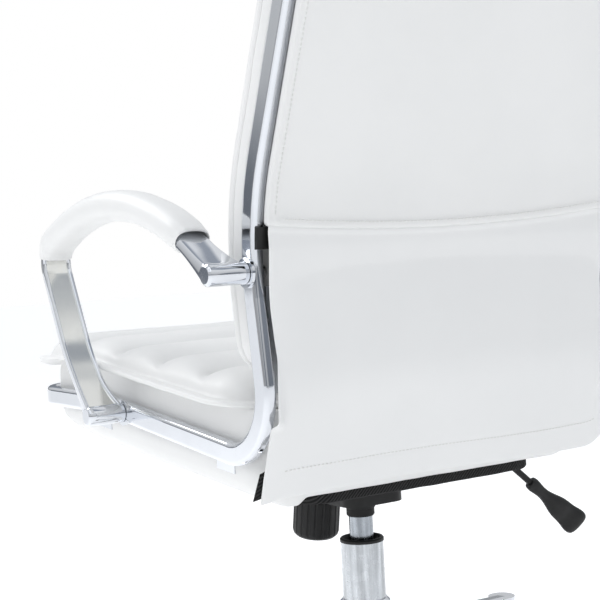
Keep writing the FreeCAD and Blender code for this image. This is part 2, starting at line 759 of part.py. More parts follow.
def seat_plate():
    """Pressed plate under the seat: two pivot cheeks, and a dished wing behind each of them."""
    skin = size("housing_wall")
    top = size("cover_low") - size("face_gap")
    sheet_blank = box("plate_blank", (-112, -118, top - skin), (112, 96, top))
    flat_shapes = [rounded("plate_sheet", sheet_blank, 20, Vector(0, 0, 1))]
    hollows = bolt_holes("plate_hole", top - 20, 40)
    wing_low = size("wing_low")
    cheeks = []
    for side, label in ((-1, "right"), (1, "left")):
        low_x, high_x = (47, 110) if side > 0 else (-110, -47)
        wing = box(f"wing_blank_{label}", (low_x, 38, wing_low), (high_x, 92, top))
        flat_shapes.append(rounded(f"wing_round_{label}", wing, 12, Vector(0, 0, 1)))
        hollow = box(
            f"wing_hollow_{label}", (low_x + 2.5, 40.5, wing_low + 2.5), (high_x - 2.5, 89.5, top + 20))
        hollows.append(rounded(f"wing_hollow_round_{label}", hollow, 9.5, Vector(0, 0, 1)))
        inner = size("housing_width") / 2 + 0.5
        near, far = (inner, inner + skin) if side > 0 else (-inner - skin, -inner)
        pivot_y, pivot_z = size("pivot_y"), size("pivot_z")
        cheeks.append(box(f"cheek_{label}", (near, pivot_y - 15, pivot_z), (far, pivot_y + 15, 307)))
        cheeks.append(cylinder(f"cheek_end_{label}", 30, skin, (near, pivot_y, pivot_z), (1, 0, 0)))
    flat = on_seat_plane(cut("plate_flat", fuse("plate_flat_solid", *flat_shapes), *hollows))
    reach = size("housing_width") / 2 + 8
    bore = cylinder(
        "cheek_bore", size("pivot_dia") + size("running_gap") * 2, reach * 2,
        (-reach, size("pivot_y"), size("pivot_z")), (1, 0, 0))
    return cut("seat_plate", fuse("plate_solid", flat, *cheeks), bore)


PLATE_BOLT_SPOTS = [(x, y) for x in (-80, 80) for y in (-95, 22)]


def seat_bolts():
    """Four bolts up through the plate and the dust cover into the seat board."""
    bolts = []
    plate_low = size("cover_low") - size("face_gap") - size("housing_wall")
    for index, (x, y) in enumerate(PLATE_BOLT_SPOTS):
        head = cylinder(f"bolt_head_{index}", size("screw_head_dia"), 4, (x, y, plate_low - 4.02))
        shank = cylinder(f"bolt_shank_{index}", size("screw_dia"), 18, (x, y, plate_low - 1))
        bolts.append(fuse(f"bolt_{index}", head, shank))
    return on_seat_plane(group("seat_bolts", bolts))


def bolt_holes(name, low, height):
    return [
        cylinder(f"{name}_{index}", size("screw_dia"), height, (x, y, low))
        for index, (x, y) in enumerate(PLATE_BOLT_SPOTS)
    ]


def tension_stud():
    """Threaded stud welded under the plate, down through the housing to the knob's floor."""
    low = 2.5 - num("knob_length")
    plate_low = num("seat_z") - num("knob_y") * math.tan(math.radians(num("seat_slope"))) + num("cover_low") - 3.6
    top = (plate_low - num("knob_z")) / math.cos(LEAN) - 1.5
    obj = cylinder("tension_stud", size("stud_dia"), top - low)
    obj.Placement = Placement(along_stud(low), turn_z_to(STUD_UP))
    obj.setExpression("Placement.Base.x", None)
    obj.setExpression("Placement.Base.y", None)
    obj.setExpression("Placement.Base.z", None)
    return obj


def seat_board():
    half = size("board_width") / 2
    blank = box("board_blank", (-half, -250, size("board_low")), (half, 128, size("seat_low") - size("face_gap")))
    board = rounded("board_round", blank, 30, Vector(0, 0, 1))
    return on_seat_plane(cut("seat_board", board, *bolt_holes("board_hole", size("board_low") - 1, 30)))


def dust_cover():
    """Thin black pan that wraps the seat board from below."""
    half = size("board_width") / 2
    low = size("cover_low")
    outer_blank = box("cover_blank", (-half - 3, -253, low), (half + 3, 131, size("seat_side_low") - 0.4))
    outer = rounded("cover_round", outer_blank, 33, Vector(0, 0, 1))
    inner_blank = box("cover_hollow_blank", (-half - 1, -251, low + 1.6), (half + 1, 129, size("seat_top")))
    inner = rounded("cover_hollow", inner_blank, 31, Vector(0, 0, 1))
    return on_seat_plane(cut("dust_cover", outer, inner, *bolt_holes("cover_hole", low - 1, 30)))


def seat_base():
    """Leather-wrapped foam between the rails, lower in the middle."""
    half, narrow = size("seat_width") / 2, size("board_width") / 2 - 1
    front, rear = -size("seat_front"), size("seat_rear")
    upper = box("base_upper", (-half, front, size("seat_side_low")), (half, rear, size("seat_top")))
    upper_round = rounded("base_upper_round", upper, 36, Vector(0, 0, 1))
    lower = box("base_lower", (-narrow, -248, size("seat_low")), (narrow, 126, size("seat_side_low") + 5))
    blank = fuse("seat_base_blank", upper_round, rounded("base_lower_round", lower, 28, Vector(0, 0, 1)))
    pockets = [
        tab_foot(f"tab_pocket_{index}_{'left' if side > 0 else 'right'}", y, side, 0.4)
        for index, y in enumerate(TAB_SPOTS) for side in (-1, 1)]
    return on_seat_plane(cut("seat_base", blank, *pockets))


def seat_pad():
    half = size("pad_width") / 2
    low = size("seat_top") + size("face_gap")
    blank = box("pad_blank", (-half, -size("pad_front"), low), (half, size("pad_rear"), size("pad_top")))
    return on_seat_plane(rounded("seat_pad", blank, size("pad_corner"), Vector(0, 0, 1)))


# ---------------------------------------------------------------- frame

def frame_corners(x):
    return [
        side_point(0, "front_y", "front_z"), side_point(x, "front_y", "front_z"),
        side_point(x, "rail_y", "rail_z"), side_point(x, "heel_y", "heel_z"),
        side_point(x, "lumbar_y", "lumbar_z"), side_point(x, "shoulder_y", "shoulder_z"),
        side_point(x, "crown_y", "crown_z"), side_point(0, "crown_y", "crown_z")]


def frame_loop():
    """One bent tube: under the seat front, back along the rails, up the back and over its top."""
    depth, width, wall = num("tube_depth"), num("tube_width"), num("tube_wall")
    corner = num("corner_radius")
    radii = [corner] + [num(f"{bend}_radius") for bend in ("rail", "heel", "lumbar", "shoulder")] + [corner]
    upwards = Vector(0, 0, 1)
    corners = frame_corners(num("tube_x"))
    outside = bent_bar(rounded_section(depth, width, 5), corners, radii, upwards)
    hollow = bent_bar(rounded_section(depth - 2 * wall, width - 2 * wall, 3.4), corners, radii, upwards)
    half = outside.cut(hollow)
    loop = half.fuse(half.mirror(Vector(), ACROSS)).removeSplitter()
    holes = []
    for side in (-1, 1):
        for y, z in ARM_ENDS:
            start = Vector(side * (num("tube_x") - 12), y, z)
            radius = num("arm_bolt_dia") / 2
            holes.append(Part.makeCylinder(radius, 24, start, Vector(side, 0, 0)))
    return shaped("frame_loop", loop.cut(holes))


ARM_ENDS = [
    (num("arm_front_y"), num("arm_front_z")),
    (num("arm_rear_y"), num("arm_rear_z")),
]


def tab_foot(name, y, side, grow):
    """Foot of a tab, or with grow the pocket that it sits in."""
    inner = size("tube_x") - size("tube_width") / 2
    near, far = as_size(180 - grow), inner + grow
    ends = (near, far) if side > 0 else (-far, -near)
    return box(name, (ends[0], y - grow, size("tab_low") - grow), (ends[1], y + 36 + grow, size("tab_low") + 3.4 + grow))


def frame_tabs():
    """Tabs welded inside the rails, let into the seat base, and flat strips inside the uprights."""
    tabs = []
    inner = size("tube_x") - size("tube_width") / 2
    for index, y in enumerate(TAB_SPOTS):
        for side in (-1, 1):
            label = f"{index}_{'left' if side > 0 else 'right'}"
            low_x, high_x = (inner - 3, inner) if side > 0 else (-inner, -inner + 3)
            upright = box(f"tab_upright_{label}", (low_x, y, size("tab_low")), (high_x, y + 36, 8))
            foot = tab_foot(f"tab_foot_{label}", y, side, 0)
            tabs.append(on_seat_plane(fuse(f"tab_{label}", upright, foot)))
    for side, label in ((-1, "right"), (1, "left")):
        low_x, high_x = (inner - 10, inner) if side > 0 else (-inner, -inner + 10)
        tabs.append(box(f"back_tab_{label}", (low_x, 170.5, 425), (high_x, 174.5, 530)))
    return group("frame_tabs", tabs)


TAB_SPOTS = (-230, 60)


# ---------------------------------------------------------------- arms

def arm_line(x):
    """Side view of the arm: up and forward from the front boss, over the top, down to the rear boss."""
    front, rear = ARM_ENDS
    return [
        Vector(x, front[0], front[1]), Vector(x, -182.5, 456), Vector(x, -241, 576.5), Vector(x, -21, 663.5),
        Vector(x, rear[0], rear[1])], [184, 30, 359]


def arm_shape(x):
    corners, radii = arm_line(x)
    strip = bent_bar(rounded_section(num("arm_width"), num("arm_thick"), 5), corners, radii, ACROSS)
    shapes = [strip]
    holes = []
    for y, z in ARM_ENDS:
        inner = x + num("arm_width") / 2 - num("boss_length")
        boss = Part.makeCylinder(num("boss_dia") / 2, num("boss_length"), Vector(inner, y, z), ACROSS)
        rim = [edge for edge in boss.Edges if abs(edge.CenterOfMass.x - inner - num("boss_length")) < 0.01]
        shapes.append(boss.makeChamfer(1.5, rim[:1]))
        holes.append(Part.makeCylinder(num("arm_bolt_dia") / 2, 30, Vector(inner - 1, y, z), ACROSS))
    return shapes[0].multiFuse(shapes[1:]).removeSplitter().cut(holes)


def sleeve_shape(x):
    """Oval padded tube round the arm's arc, cut where the strip runs through it."""
    corners, radii = arm_line(x)
    oval = rounded_section(num("sleeve_width"), num("sleeve_thick"), num("sleeve_thick") / 2)
    whole = bent_bar(oval, corners, radii, ACROSS)
    strip = rounded_section(num("arm_width") + 0.2, num("arm_thick") + 0.2, 5)
    core = bent_bar(strip, corners, radii, ACROSS)
    side = [(-340, 568.5), (0, 568.5), (0, 540), (87.6, 540), (203.2, 720), (-340, 720), (-340, 568.5)]
    keep = Part.Face(Part.makePolygon([Vector(x - 100, y, z) for y, z in side])).extrude(Vector(200, 0, 0))
    return whole.cut(core).common(keep)


ARM_X = (num("tube_x") + num("tube_width") / 2 + num("washer_thick") + num("boss_length")
         - num("arm_width") / 2)


def arms():
    left = shaped("arm_left", arm_shape(ARM_X))
    sleeve = shaped("arm_sleeve_left", sleeve_shape(ARM_X))
    return left, mirrored("arm_right", left), sleeve, mirrored("arm_sleeve_right", sleeve)


def arm_washers():
    washers = []
    face = size("tube_x") + size("tube_width") / 2
    for index, (y, z) in enumerate(ARM_ENDS):
        for side, label in ((-1, "right"), (1, "left")):
            washers.append(tube(
                f"washer_{index}_{label}", size("washer_dia"), size("arm_bolt_dia"), size("washer_thick"),
                (face * side, y, z), (side, 0, 0)))
    return group("arm_washers", washers)


def arm_bolts():
    """Bolts from inside the frame, through tube and washer, into the arm's bosses."""
    bolts = []
    inner = size("tube_x") - size("tube_width") / 2
    for index, (y, z) in enumerate(ARM_ENDS):
        for side, label in ((-1, "right"), (1, "left")):
            head = cylinder(f"arm_bolt_head_{index}_{label}", 14, 4, ((inner - 4) * side, y, z), (side, 0, 0))
            shank = cylinder(
                f"arm_bolt_shank_{index}_{label}", size("arm_bolt_dia"), 44, ((inner - 1) * side, y, z), (side, 0, 0))
            bolts.append(fuse(f"arm_bolt_{index}_{label}", head, shank))
    return group("arm_bolts", bolts)


# ---------------------------------------------------------------- back

def back_slab(width, thick, rise, radius, low, high):
    """Slab that follows the back between two heights, with rounded upper corners."""
    corners, radii = back_line(num("back_board_low") - 30, num("pad_high") + 20)
    slab = bent_bar(rounded_section(width, thick, radius, rise), corners, radii, ACROSS)
    window = Part.makeBox(width + 2, 600, high - low, Vector(-width / 2 - 1, 0, low))
    corner = num("back_corner")
    upper = [
        edge for edge in window.Edges
        if abs(edge.CenterOfMass.z - high) < 0.01 and abs(edge.CenterOfMass.y - 300) < 1]
    return slab.common(window.makeFillet(corner, upper)).Solids[0]


def back_pad():
    rise = -num("tube_depth") / 2 - num("face_gap") - num("back_pad_thick") / 2
    return shaped("back_pad", back_slab(
        num("back_pad_width"), num("back_pad_thick"), rise, 14, num("back_low"), num("pad_high")))


BOARD_RISE = (num("back_board_thick") - num("tube_depth")) / 2
CROSSBAR_RISE = (num("tube_depth") + num("crossbar_thick")) / 2 + 0.2
SCREW_Z = (num("crossbar_low") + num("crossbar_high")) / 2


def crossbar_blank():
    return back_slab(
        num("crossbar_width"), num("crossbar_thick"), CROSSBAR_RISE, 1, num("crossbar_low"), num("crossbar_high") + 60).common(
            Part.makeBox(600, 600, num("crossbar_high"), Vector(-300, 0, 0))).Solids[0]


def back_structure():
    """Plywood back board, the steel bar behind it and the screws that hold them together."""
    board = back_slab(
        num("back_width"), num("back_board_thick"), BOARD_RISE, 2, num("back_board_low"), num("back_high"))
    bar = crossbar_blank()
    rear_face = bar.BoundBox.YMax
    screws = []
    for x in (-150, -50, 50, 150):
        shank = Part.makeCylinder(num("screw_dia") / 2, 27, Vector(x, rear_face + 1, SCREW_Z), Vector(0, -1, 0))
        head = Part.makeCylinder(num("screw_head_dia") / 2, 3, Vector(x, rear_face + 0.05, SCREW_Z), Vector(0, 1, 0))
        board = board.cut(shank)
        bar = bar.cut(shank)
        screws.append(shank.fuse(head))
    return {
        "back_board": shaped("back_board", board),
        "back_crossbar": shaped("back_crossbar", bar),
        "back_screws": shaped("back_screws", Part.makeCompound(screws)),
    }


def back_cover():
    rise = BOARD_RISE + (num("back_board_thick") + num("cover_thick")) / 2 + num("face_gap")
    return shaped("back_cover", back_slab(
        num("back_width"), num("cover_thick"), rise, 5, num("cover_end"), num("back_high")))


def back_apron():
    """Lower rear panel that hangs from the seam to below the seat."""
    corners = [Vector(0, num("apron_y") + 1, num("cover_end") - 1), Vector(0, num("apron_y"), 430),
               Vector(0, num("apron_foot_y"), num("apron_foot_z"))]
    section = rounded_section(num("apron_width"), num("apron_thick"), 1)
    return shaped("back_apron", bent_bar(section, corners, [90], ACROSS))


# ---------------------------------------------------------------- casters

# each caster trails in a direction of its own, as they do after the chair has been turned about
TRAIL_HEADINGS = [-64, 31, 112, 160, -140]


def caster(number):
    """Stem, hood, axle and a pair of wheels; the stem's axis is the caster's own Z axis."""
    trail = size("caster_trail")
    radius = size("wheel_dia") / 2
    inner = size("wheel_inset")
    outer = inner + size("wheel_width")
    label = f"caster_{number}"

    stem = turned(label + "_stem", [
        (0, 50), (size("stem_dia") / 2, 50), (size("stem_dia") / 2, 75.5), (size("stem_dia") / 2 - 1.5, 77),
        (0, 77)])

    web = box(label + "_web", (-trail - 14, -inner + 0.5, 14), (8, inner - 0.5, 52))
    shell = cylinder(label + "_shell", size("wheel_dia") + 9, (outer - 3) * 2, (-trail, -outer + 3, radius), (0, 1, 0))
    hollow_width = size("wheel_width") + 1
    hollows = [
        cylinder(f"{label}_hollow_{index}", size("wheel_dia") + 3, hollow_width, (-trail, start, radius), (0, 1, 0))
        for index, start in enumerate((inner - 0.5, -inner + 0.5 - hollow_width))
    ]
    below = box(label + "_below", (-60, -40, -10), (40, 40, 24))
    shell_top = cut(label + "_shell_top", shell, below)
    neck = cylinder(label + "_neck", 22, 9.5, (0, 0, 49.5))
    stem_hole = cylinder(label + "_stem_hole", size("stem_dia"), 40, (0, 0, 50))
    axle_hole = cylinder(label + "_axle_hole", size("axle_dia") + 0.1, 60, (-trail, -30, radius), (0, 1, 0))
    blank = fuse(label + "_hood_blank", web, cut(label + "_shell_cut", shell_top, *hollows), neck)
    hood = cut(label + "_hood", blank, stem_hole, axle_hole)

    axle_reach = outer - 4
    axle = cylinder(label + "_axle", size("axle_dia"), axle_reach * 2, (-trail, -axle_reach, radius), (0, 1, 0))

    bore = size("axle_dia") / 2 + size("running_gap")
    wheels = []
    for side, name in ((-1, "right"), (1, "left")):
        wheel = turned(f"{label}_wheel_{name}", [
            (bore, 0), (radius - 2, 0), (radius, 2), (radius, size("wheel_width") - 4),
            (radius - 4, size("wheel_width")), (radius - 9, size("wheel_width") - 2),
            (bore, size("wheel_width") - 3)])
        turn = Rotation(Vector(1, 0, 0), -90 * side)
        place(wheel, (-trail, inner * side, radius), turn)
        wheels.append(wheel)
    pair = group(label + "_wheels", wheels)

    heading = math.radians(-90 + 72 * number)
    reach = num("base_radius")
    spot = Vector(reach * math.cos(heading), reach * math.sin(heading), 0)
    placement = Placement(spot, Rotation(Vector(0, 0, 1), TRAIL_HEADINGS[number]))
    doc.recompute()
    pieces = {"stem": stem, "hood": hood, "axle": axle, "wheels": pair}
    for piece in pieces.values():
        for letter in "xyz":
            piece.setExpression("Placement.Base." + letter, None)
        piece.Placement = placement.multiply(piece.Placement)
    return {f"{label}_{kind}": piece for kind, piece in pieces.items()}


# ---------------------------------------------------------------- assembly

def build():
    nodes = {
        "star_base": star_base(), "base_column": base_column(), "column_ring": column_ring(),
        "guide_bushing": guide_bushing(), "thrust_bearing": thrust_bearing(),
        "piston_rod": piston_rod(), "rod_clip": rod_clip(),
        "gas_cylinder": gas_cylinder(), "valve_button": valve_button(),
        "tilt_housing": tilt_housing(), "socket_collar": socket_collar(),
        "pivot_shaft": pivot_shaft(), "pivot_clips": pivot_clips(), "tilt_spring": tilt_spring(),
        "spring_seat": spring_seat(), "tension_knob": tension_knob(),
        "lever_bush": lever_bush(), "lever_rod": lever_rod(), "lever_handle": lever_handle(),
        "seat_plate": seat_plate(), "seat_bolts": seat_bolts(), "tension_stud": tension_stud(),
        "seat_board": seat_board(), "dust_cover": dust_cover(), "seat_base": seat_base(), "seat_pad": seat_pad(),
        "frame_loop": frame_loop(), "frame_tabs": frame_tabs(),
        "arm_washers": arm_washers(), "arm_bolts": arm_bolts(),
        "back_pad": back_pad(), "back_cover": back_cover(), "back_apron": back_apron(),
    }
    names = ("arm_left", "arm_right", "arm_sleeve_left", "arm_sleeve_right")
    nodes.update(zip(names, arms()))
    nodes.update(back_structure())
    for number in range(5):
        nodes.update(caster(number))
    return nodes


def check(nodes):
    doc.recompute()
    for obj in doc.Objects:
        assert not {"Invalid", "Error"} & set(obj.State), f"{obj.Name} failed: {obj.State}"
    for name, obj in nodes.items():
        assert not obj.Shape.isNull() and obj.Shape.isValid() and obj.Shape.Volume > 0, f"{name} has no valid shape"


def export(nodes):
    os.makedirs("parts", exist_ok=True)
    for name, obj in nodes.items():
        obj.Label = name
        obj.Shape.exportStep(f"parts/{name}.step")
    print(len(nodes), "nodes")


pieces = build()
check(pieces)
export(pieces)
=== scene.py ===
"""Looks of the swivel office chair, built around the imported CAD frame. Metres, +Z up, the sitter faces -Y."""
import json
import math

import bmesh
import bpy
import numpy as np
from mathutils import Matrix, Vector, noise


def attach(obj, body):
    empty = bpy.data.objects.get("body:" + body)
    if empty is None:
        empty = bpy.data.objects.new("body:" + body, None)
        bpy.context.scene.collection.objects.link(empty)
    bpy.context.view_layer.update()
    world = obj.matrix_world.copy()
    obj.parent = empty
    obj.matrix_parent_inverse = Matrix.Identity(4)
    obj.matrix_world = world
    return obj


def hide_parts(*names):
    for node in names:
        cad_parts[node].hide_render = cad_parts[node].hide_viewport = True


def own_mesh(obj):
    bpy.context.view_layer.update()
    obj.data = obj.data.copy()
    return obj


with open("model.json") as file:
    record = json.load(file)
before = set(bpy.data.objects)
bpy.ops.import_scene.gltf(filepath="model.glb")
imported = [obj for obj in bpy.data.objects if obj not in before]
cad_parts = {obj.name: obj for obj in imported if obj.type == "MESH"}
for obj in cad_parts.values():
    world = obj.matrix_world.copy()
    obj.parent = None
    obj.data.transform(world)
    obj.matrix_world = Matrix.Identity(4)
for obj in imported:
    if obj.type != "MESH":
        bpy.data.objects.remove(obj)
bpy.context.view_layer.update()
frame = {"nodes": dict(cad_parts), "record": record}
NODES = frame["nodes"]


# ---------------------------------------------------------------- camera, world, stage

STUDIO_STRENGTH = 0.90
FLOOR_GLOW = 0.38


def add_camera():
    """Behind the sitter's left shoulder, rolled a little, close to the lower back."""
    column_side = Vector((-0.5736, -0.8192, 0.0))
    to_right = Vector((-0.8192, 0.5736, 0.0))
    yaw, pitch, roll = math.radians(2.02), math.radians(2.36), 0.053
    ahead = column_side * math.cos(yaw) - to_right * math.sin(yaw)
    forward = (ahead * math.cos(pitch) - Vector((0, 0, 1)) * math.sin(pitch)).normalized()
    right = forward.cross(Vector((0, 0, 1))).normalized()
    up = (right.cross(forward) + right * roll).normalized()
    right = forward.cross(up)
    turn = Matrix((right, up, -forward)).transposed().to_4x4()
    data = bpy.data.cameras.new("camera")
    data.lens, data.sensor_width = 84.0, 36.0
    data.clip_start, data.clip_end = 0.05, 60.0
    camera = bpy.data.objects.new("camera", data)
    camera.matrix_world = Matrix.Translation((0.935, 1.335, 0.571)) @ turn
    bpy.context.scene.collection.objects.link(camera)
    bpy.context.scene.camera = camera


def add_world():
    """A white studio; what the chrome reflects is dimmer at the horizon and has a few grey flags."""
    world = bpy.data.worlds.new("studio")
    bpy.context.scene.world = world
    world.use_nodes = True
    tree = world.node_tree
    tree.nodes.clear()
    new, link = tree.nodes.new, tree.links.new
    coordinates = new("ShaderNodeTexCoord")
    split = new("ShaderNodeSeparateXYZ")
    link(coordinates.outputs["Generated"], split.inputs[0])
    height = new("ShaderNodeValToRGB")
    ramp = height.color_ramp
    stops = [(0.0, 0.62), (0.40, 0.66), (0.485, 0.60), (0.503, 0.45), (0.524, 0.47), (0.545, 0.60), (0.60, 0.73),
             (0.78, 0.98), (1.0, 1.0)]
    ramp.elements[0].position, ramp.elements[1].position = stops[0][0], stops[-1][0]
    for position, glow in stops[1:-1]:
        ramp.elements.new(position)
    for element, (position, glow) in zip(ramp.elements, stops):
        element.position = position
        element.color = (glow * 0.965, glow * 0.98, glow, 1)
    lift = new("ShaderNodeMapRange")
    lift.inputs["From Min"].default_value, lift.inputs["From Max"].default_value = -1, 1
    link(split.outputs["Z"], lift.inputs["Value"])
    link(lift.outputs[0], height.inputs[0])
    flag = new("ShaderNodeTexNoise")
    flag.inputs["Scale"].default_value = 1.7
    flag.inputs["Detail"].default_value = 0.0
    link(coordinates.outputs["Generated"], flag.inputs["Vector"])
    flag_ramp = new("ShaderNodeValToRGB")
    flag_ramp.color_ramp.elements[0].position, flag_ramp.color_ramp.elements[1].position = 0.36, 0.44
    flag_ramp.color_ramp.elements[0].color = (0.42, 0.45, 0.50, 1)
    link(flag.outputs["Fac"], flag_ramp.inputs[0])
    mix = new("ShaderNodeMix")
    mix.data_type, mix.blend_type = "RGBA", "MULTIPLY"
    mix.inputs["Factor"].default_value = 1.0
    link(height.outputs[0], mix.inputs[6])
    link(flag_ramp.outputs[0], mix.inputs[7])
    seen, lit, path = new("ShaderNodeBackground"), new("ShaderNodeBackground"), new("ShaderNodeLightPath")
    seen.inputs["Color"].default_value = (1, 1, 1, 1)
    seen.inputs["Strength"].default_value = 1.0
    link(mix.outputs[2], lit.inputs["Color"])
    lit.inputs["Strength"].default_value = STUDIO_STRENGTH
    choose, out = new("ShaderNodeMixShader"), new("ShaderNodeOutputWorld")
    link(path.outputs["Is Camera Ray"], choose.inputs[0])
    link(lit.outputs[0], choose.inputs[1])
    link(seen.outputs[0], choose.inputs[2])
    link(choose.outputs[0], out.inputs[0])


def add_light(name, place, target, size, power):
    data = bpy.data.lights.new(name, "AREA")
    data.shape, data.size, data.energy = "DISK", size, power
    lamp = bpy.data.objects.new(name, data)
    lamp.location = place
    lamp.rotation_euler = (Vector(target) - Vector(place)).to_track_quat("-Z", "Y").to_euler()
    bpy.context.scene.collection.objects.link(lamp)


def add_floor():
    """White paper that glows a little, so that it stays white beside the chair."""
    data = bpy.data.meshes.new("floor")
    reach = 14.0
    corners = [(-reach, -reach, 0), (reach, -reach, 0), (reach, reach, 0), (-reach, reach, 0)]
    data.from_pydata(corners, [], [(0, 1, 2, 3)])
    floor = bpy.data.objects.new("floor", data)
    bpy.context.scene.collection.objects.link(floor)
    paper = simple_material("floor_paper", (0.93, 0.93, 0.93), 0.7)
    principled = paper.node_tree.nodes["Principled BSDF"]
    principled.inputs["Emission Color"].default_value = (1, 1, 1, 1)
    principled.inputs["Emission Strength"].default_value = FLOOR_GLOW
    data.materials.append(paper)


# ---------------------------------------------------------------- materials

def shader(name):
    material = bpy.data.materials.new(name)
    material.use_nodes = True
    tree = material.node_tree
    principled = tree.nodes["Principled BSDF"]
    return material, tree, principled


def object_space(tree):
    return tree.nodes.new("ShaderNodeTexCoord").outputs["Object"]


def noise_node(tree, vector, scale, detail=3.0, rough=0.5):
    node = tree.nodes.new("ShaderNodeTexNoise")
    node.inputs["Scale"].default_value = scale
    node.inputs["Detail"].default_value = detail
    node.inputs["Roughness"].default_value = rough
    tree.links.new(vector, node.inputs["Vector"])
    return node.outputs["Fac"]


def bump(tree, principled, height, strength, distance, below=None):
    node = tree.nodes.new("ShaderNodeBump")
    node.inputs["Strength"].default_value = strength
    node.inputs["Distance"].default_value = distance
    tree.links.new(height, node.inputs["Height"])
    if below is not None:
        tree.links.new(below, node.inputs["Normal"])
    tree.links.new(node.outputs[0], principled.inputs["Normal"])
    return node.outputs[0]


def ramp(tree, value, low, high, stops=(0.0, 1.0)):
    node = tree.nodes.new("ShaderNodeValToRGB")
    node.color_ramp.elements[0].position, node.color_ramp.elements[1].position = stops
    node.color_ramp.elements[0].color = (*low, 1)
    node.color_ramp.elements[1].color = (*high, 1)
    tree.links.new(value, node.inputs[0])
    return node.outputs[0]


def grey(level):
    return (level, level, level)


def simple_material(name, colour, rough):
    material, _, principled = shader(name)
    principled.inputs["Base Color"].default_value = (*colour, 1)
    principled.inputs["Roughness"].default_value = rough
    return material


def leather_material(name, light, dark, grain=1.0):
    """Fine pebble grain over soft cloudiness, with a thin clear finish."""
    material, tree, principled = shader(name)
    place = object_space(tree)
    cloud = noise_node(tree, place, 9.0, 4.0)
    tree.links.new(ramp(tree, cloud, dark, light, (0.3, 0.62)), principled.inputs["Base Color"])
    tree.links.new(ramp(tree, noise_node(tree, place, 60.0, 3.0), grey(0.36), grey(0.50), (0.3, 0.7)),
                   principled.inputs["Roughness"])
    pebble = tree.nodes.new("ShaderNodeTexVoronoi")
    pebble.inputs["Scale"].default_value = 620.0
    pebble.inputs["Randomness"].default_value = 1.0
    tree.links.new(place, pebble.inputs["Vector"])
    creases = noise_node(tree, place, 140.0, 5.0, 0.65)
    first = bump(tree, principled, pebble.outputs["Distance"], 0.22 * grain, 0.00022)
    bump(tree, principled, creases, 0.20 * grain, 0.0007, first)
    principled.inputs["Coat Weight"].default_value = 0.12
    principled.inputs["Coat Roughness"].default_value = 0.28
    principled.inputs["Sheen Weight"].default_value = 0.05
    return material


def chrome_material(name, colour, rough=0.05):
    """Plated tube: almost a mirror, with the faint waviness and haze of polished plate."""
    material, tree, principled = shader(name)
    place = object_space(tree)
    principled.inputs["Metallic"].default_value = 1.0
    dull = tuple(c * 0.96 for c in colour)
    tree.links.new(ramp(tree, noise_node(tree, place, 22.0, 4.0), dull, colour, (0.3, 0.6)),
                   principled.inputs["Base Color"])
    tree.links.new(ramp(tree, noise_node(tree, place, 70.0, 5.0), grey(rough), grey(rough + 0.06), (0.35, 0.75)),
                   principled.inputs["Roughness"])
    bump(tree, principled, noise_node(tree, place, 34.0, 2.0), 0.05, 0.0006)
    return material


def plastic_material(name, level, rough, texture=1.0):
    """Black moulded plastic or powder coat with a fine spark-eroded texture."""
    material, tree, principled = shader(name)
    place = object_space(tree)
    tree.links.new(ramp(tree, noise_node(tree, place, 30.0, 4.0), grey(level * 0.75), grey(level * 1.25), (0.3, 0.7)),
                   principled.inputs["Base Color"])
    specks = noise_node(tree, place, 220.0, 3.0)
    tree.links.new(ramp(tree, specks, grey(rough - 0.06), grey(rough + 0.08), (0.3, 0.7)),
                   principled.inputs["Roughness"])
    bump(tree, principled, noise_node(tree, place, 1500.0, 2.0, 0.6), 0.16 * texture, 0.0003)
    principled.inputs["Specular IOR Level"].default_value = 0.32
    return material


def steel_material(name, level, rough):
    """Zinc-plated or ground steel, streaked along one direction."""
    material, tree, principled = shader(name)
    place = object_space(tree)
    stretch = tree.nodes.new("ShaderNodeMapping")
    stretch.inputs["Scale"].default_value = (900, 60, 60)
    tree.links.new(place, stretch.inputs["Vector"])
    streaks = noise_node(tree, stretch.outputs[0], 1.0, 2.0)
    principled.inputs["Metallic"].default_value = 1.0
    tree.links.new(ramp(tree, streaks, grey(level * 0.85), grey(level), (0.3, 0.7)), principled.inputs["Base Color"])
    tree.links.new(ramp(tree, noise_node(tree, place, 90.0), grey(rough - 0.05), grey(rough + 0.1), (0.3, 0.7)),
                   principled.inputs["Roughness"])
    bump(tree, principled, streaks, 0.08, 0.0003)
    return material


def streaked_material(name, colour, rough):
    """Drawn and plated tube, with pale streaks along its length."""
    material, tree, principled = shader(name)
    place = object_space(tree)
    stretch = tree.nodes.new("ShaderNodeMapping")
    stretch.inputs["Scale"].default_value = (150, 150, 9)
    tree.links.new(place, stretch.inputs["Vector"])
    streaks = noise_node(tree, stretch.outputs[0], 1.0, 5.0, 0.6)
    principled.inputs["Metallic"].default_value = 1.0
    dull, pale = tuple(c * 0.70 for c in colour), tuple(c * 1.12 for c in colour)
    tree.links.new(ramp(tree, streaks, dull, pale, (0.34, 0.66)),
                   principled.inputs["Base Color"])
    tree.links.new(ramp(tree, noise_node(tree, place, 120.0, 4.0), grey(rough), grey(rough + 0.14), (0.3, 0.7)),
                   principled.inputs["Roughness"])
    bump(tree, principled, streaks, 0.05, 0.0004)
    return material


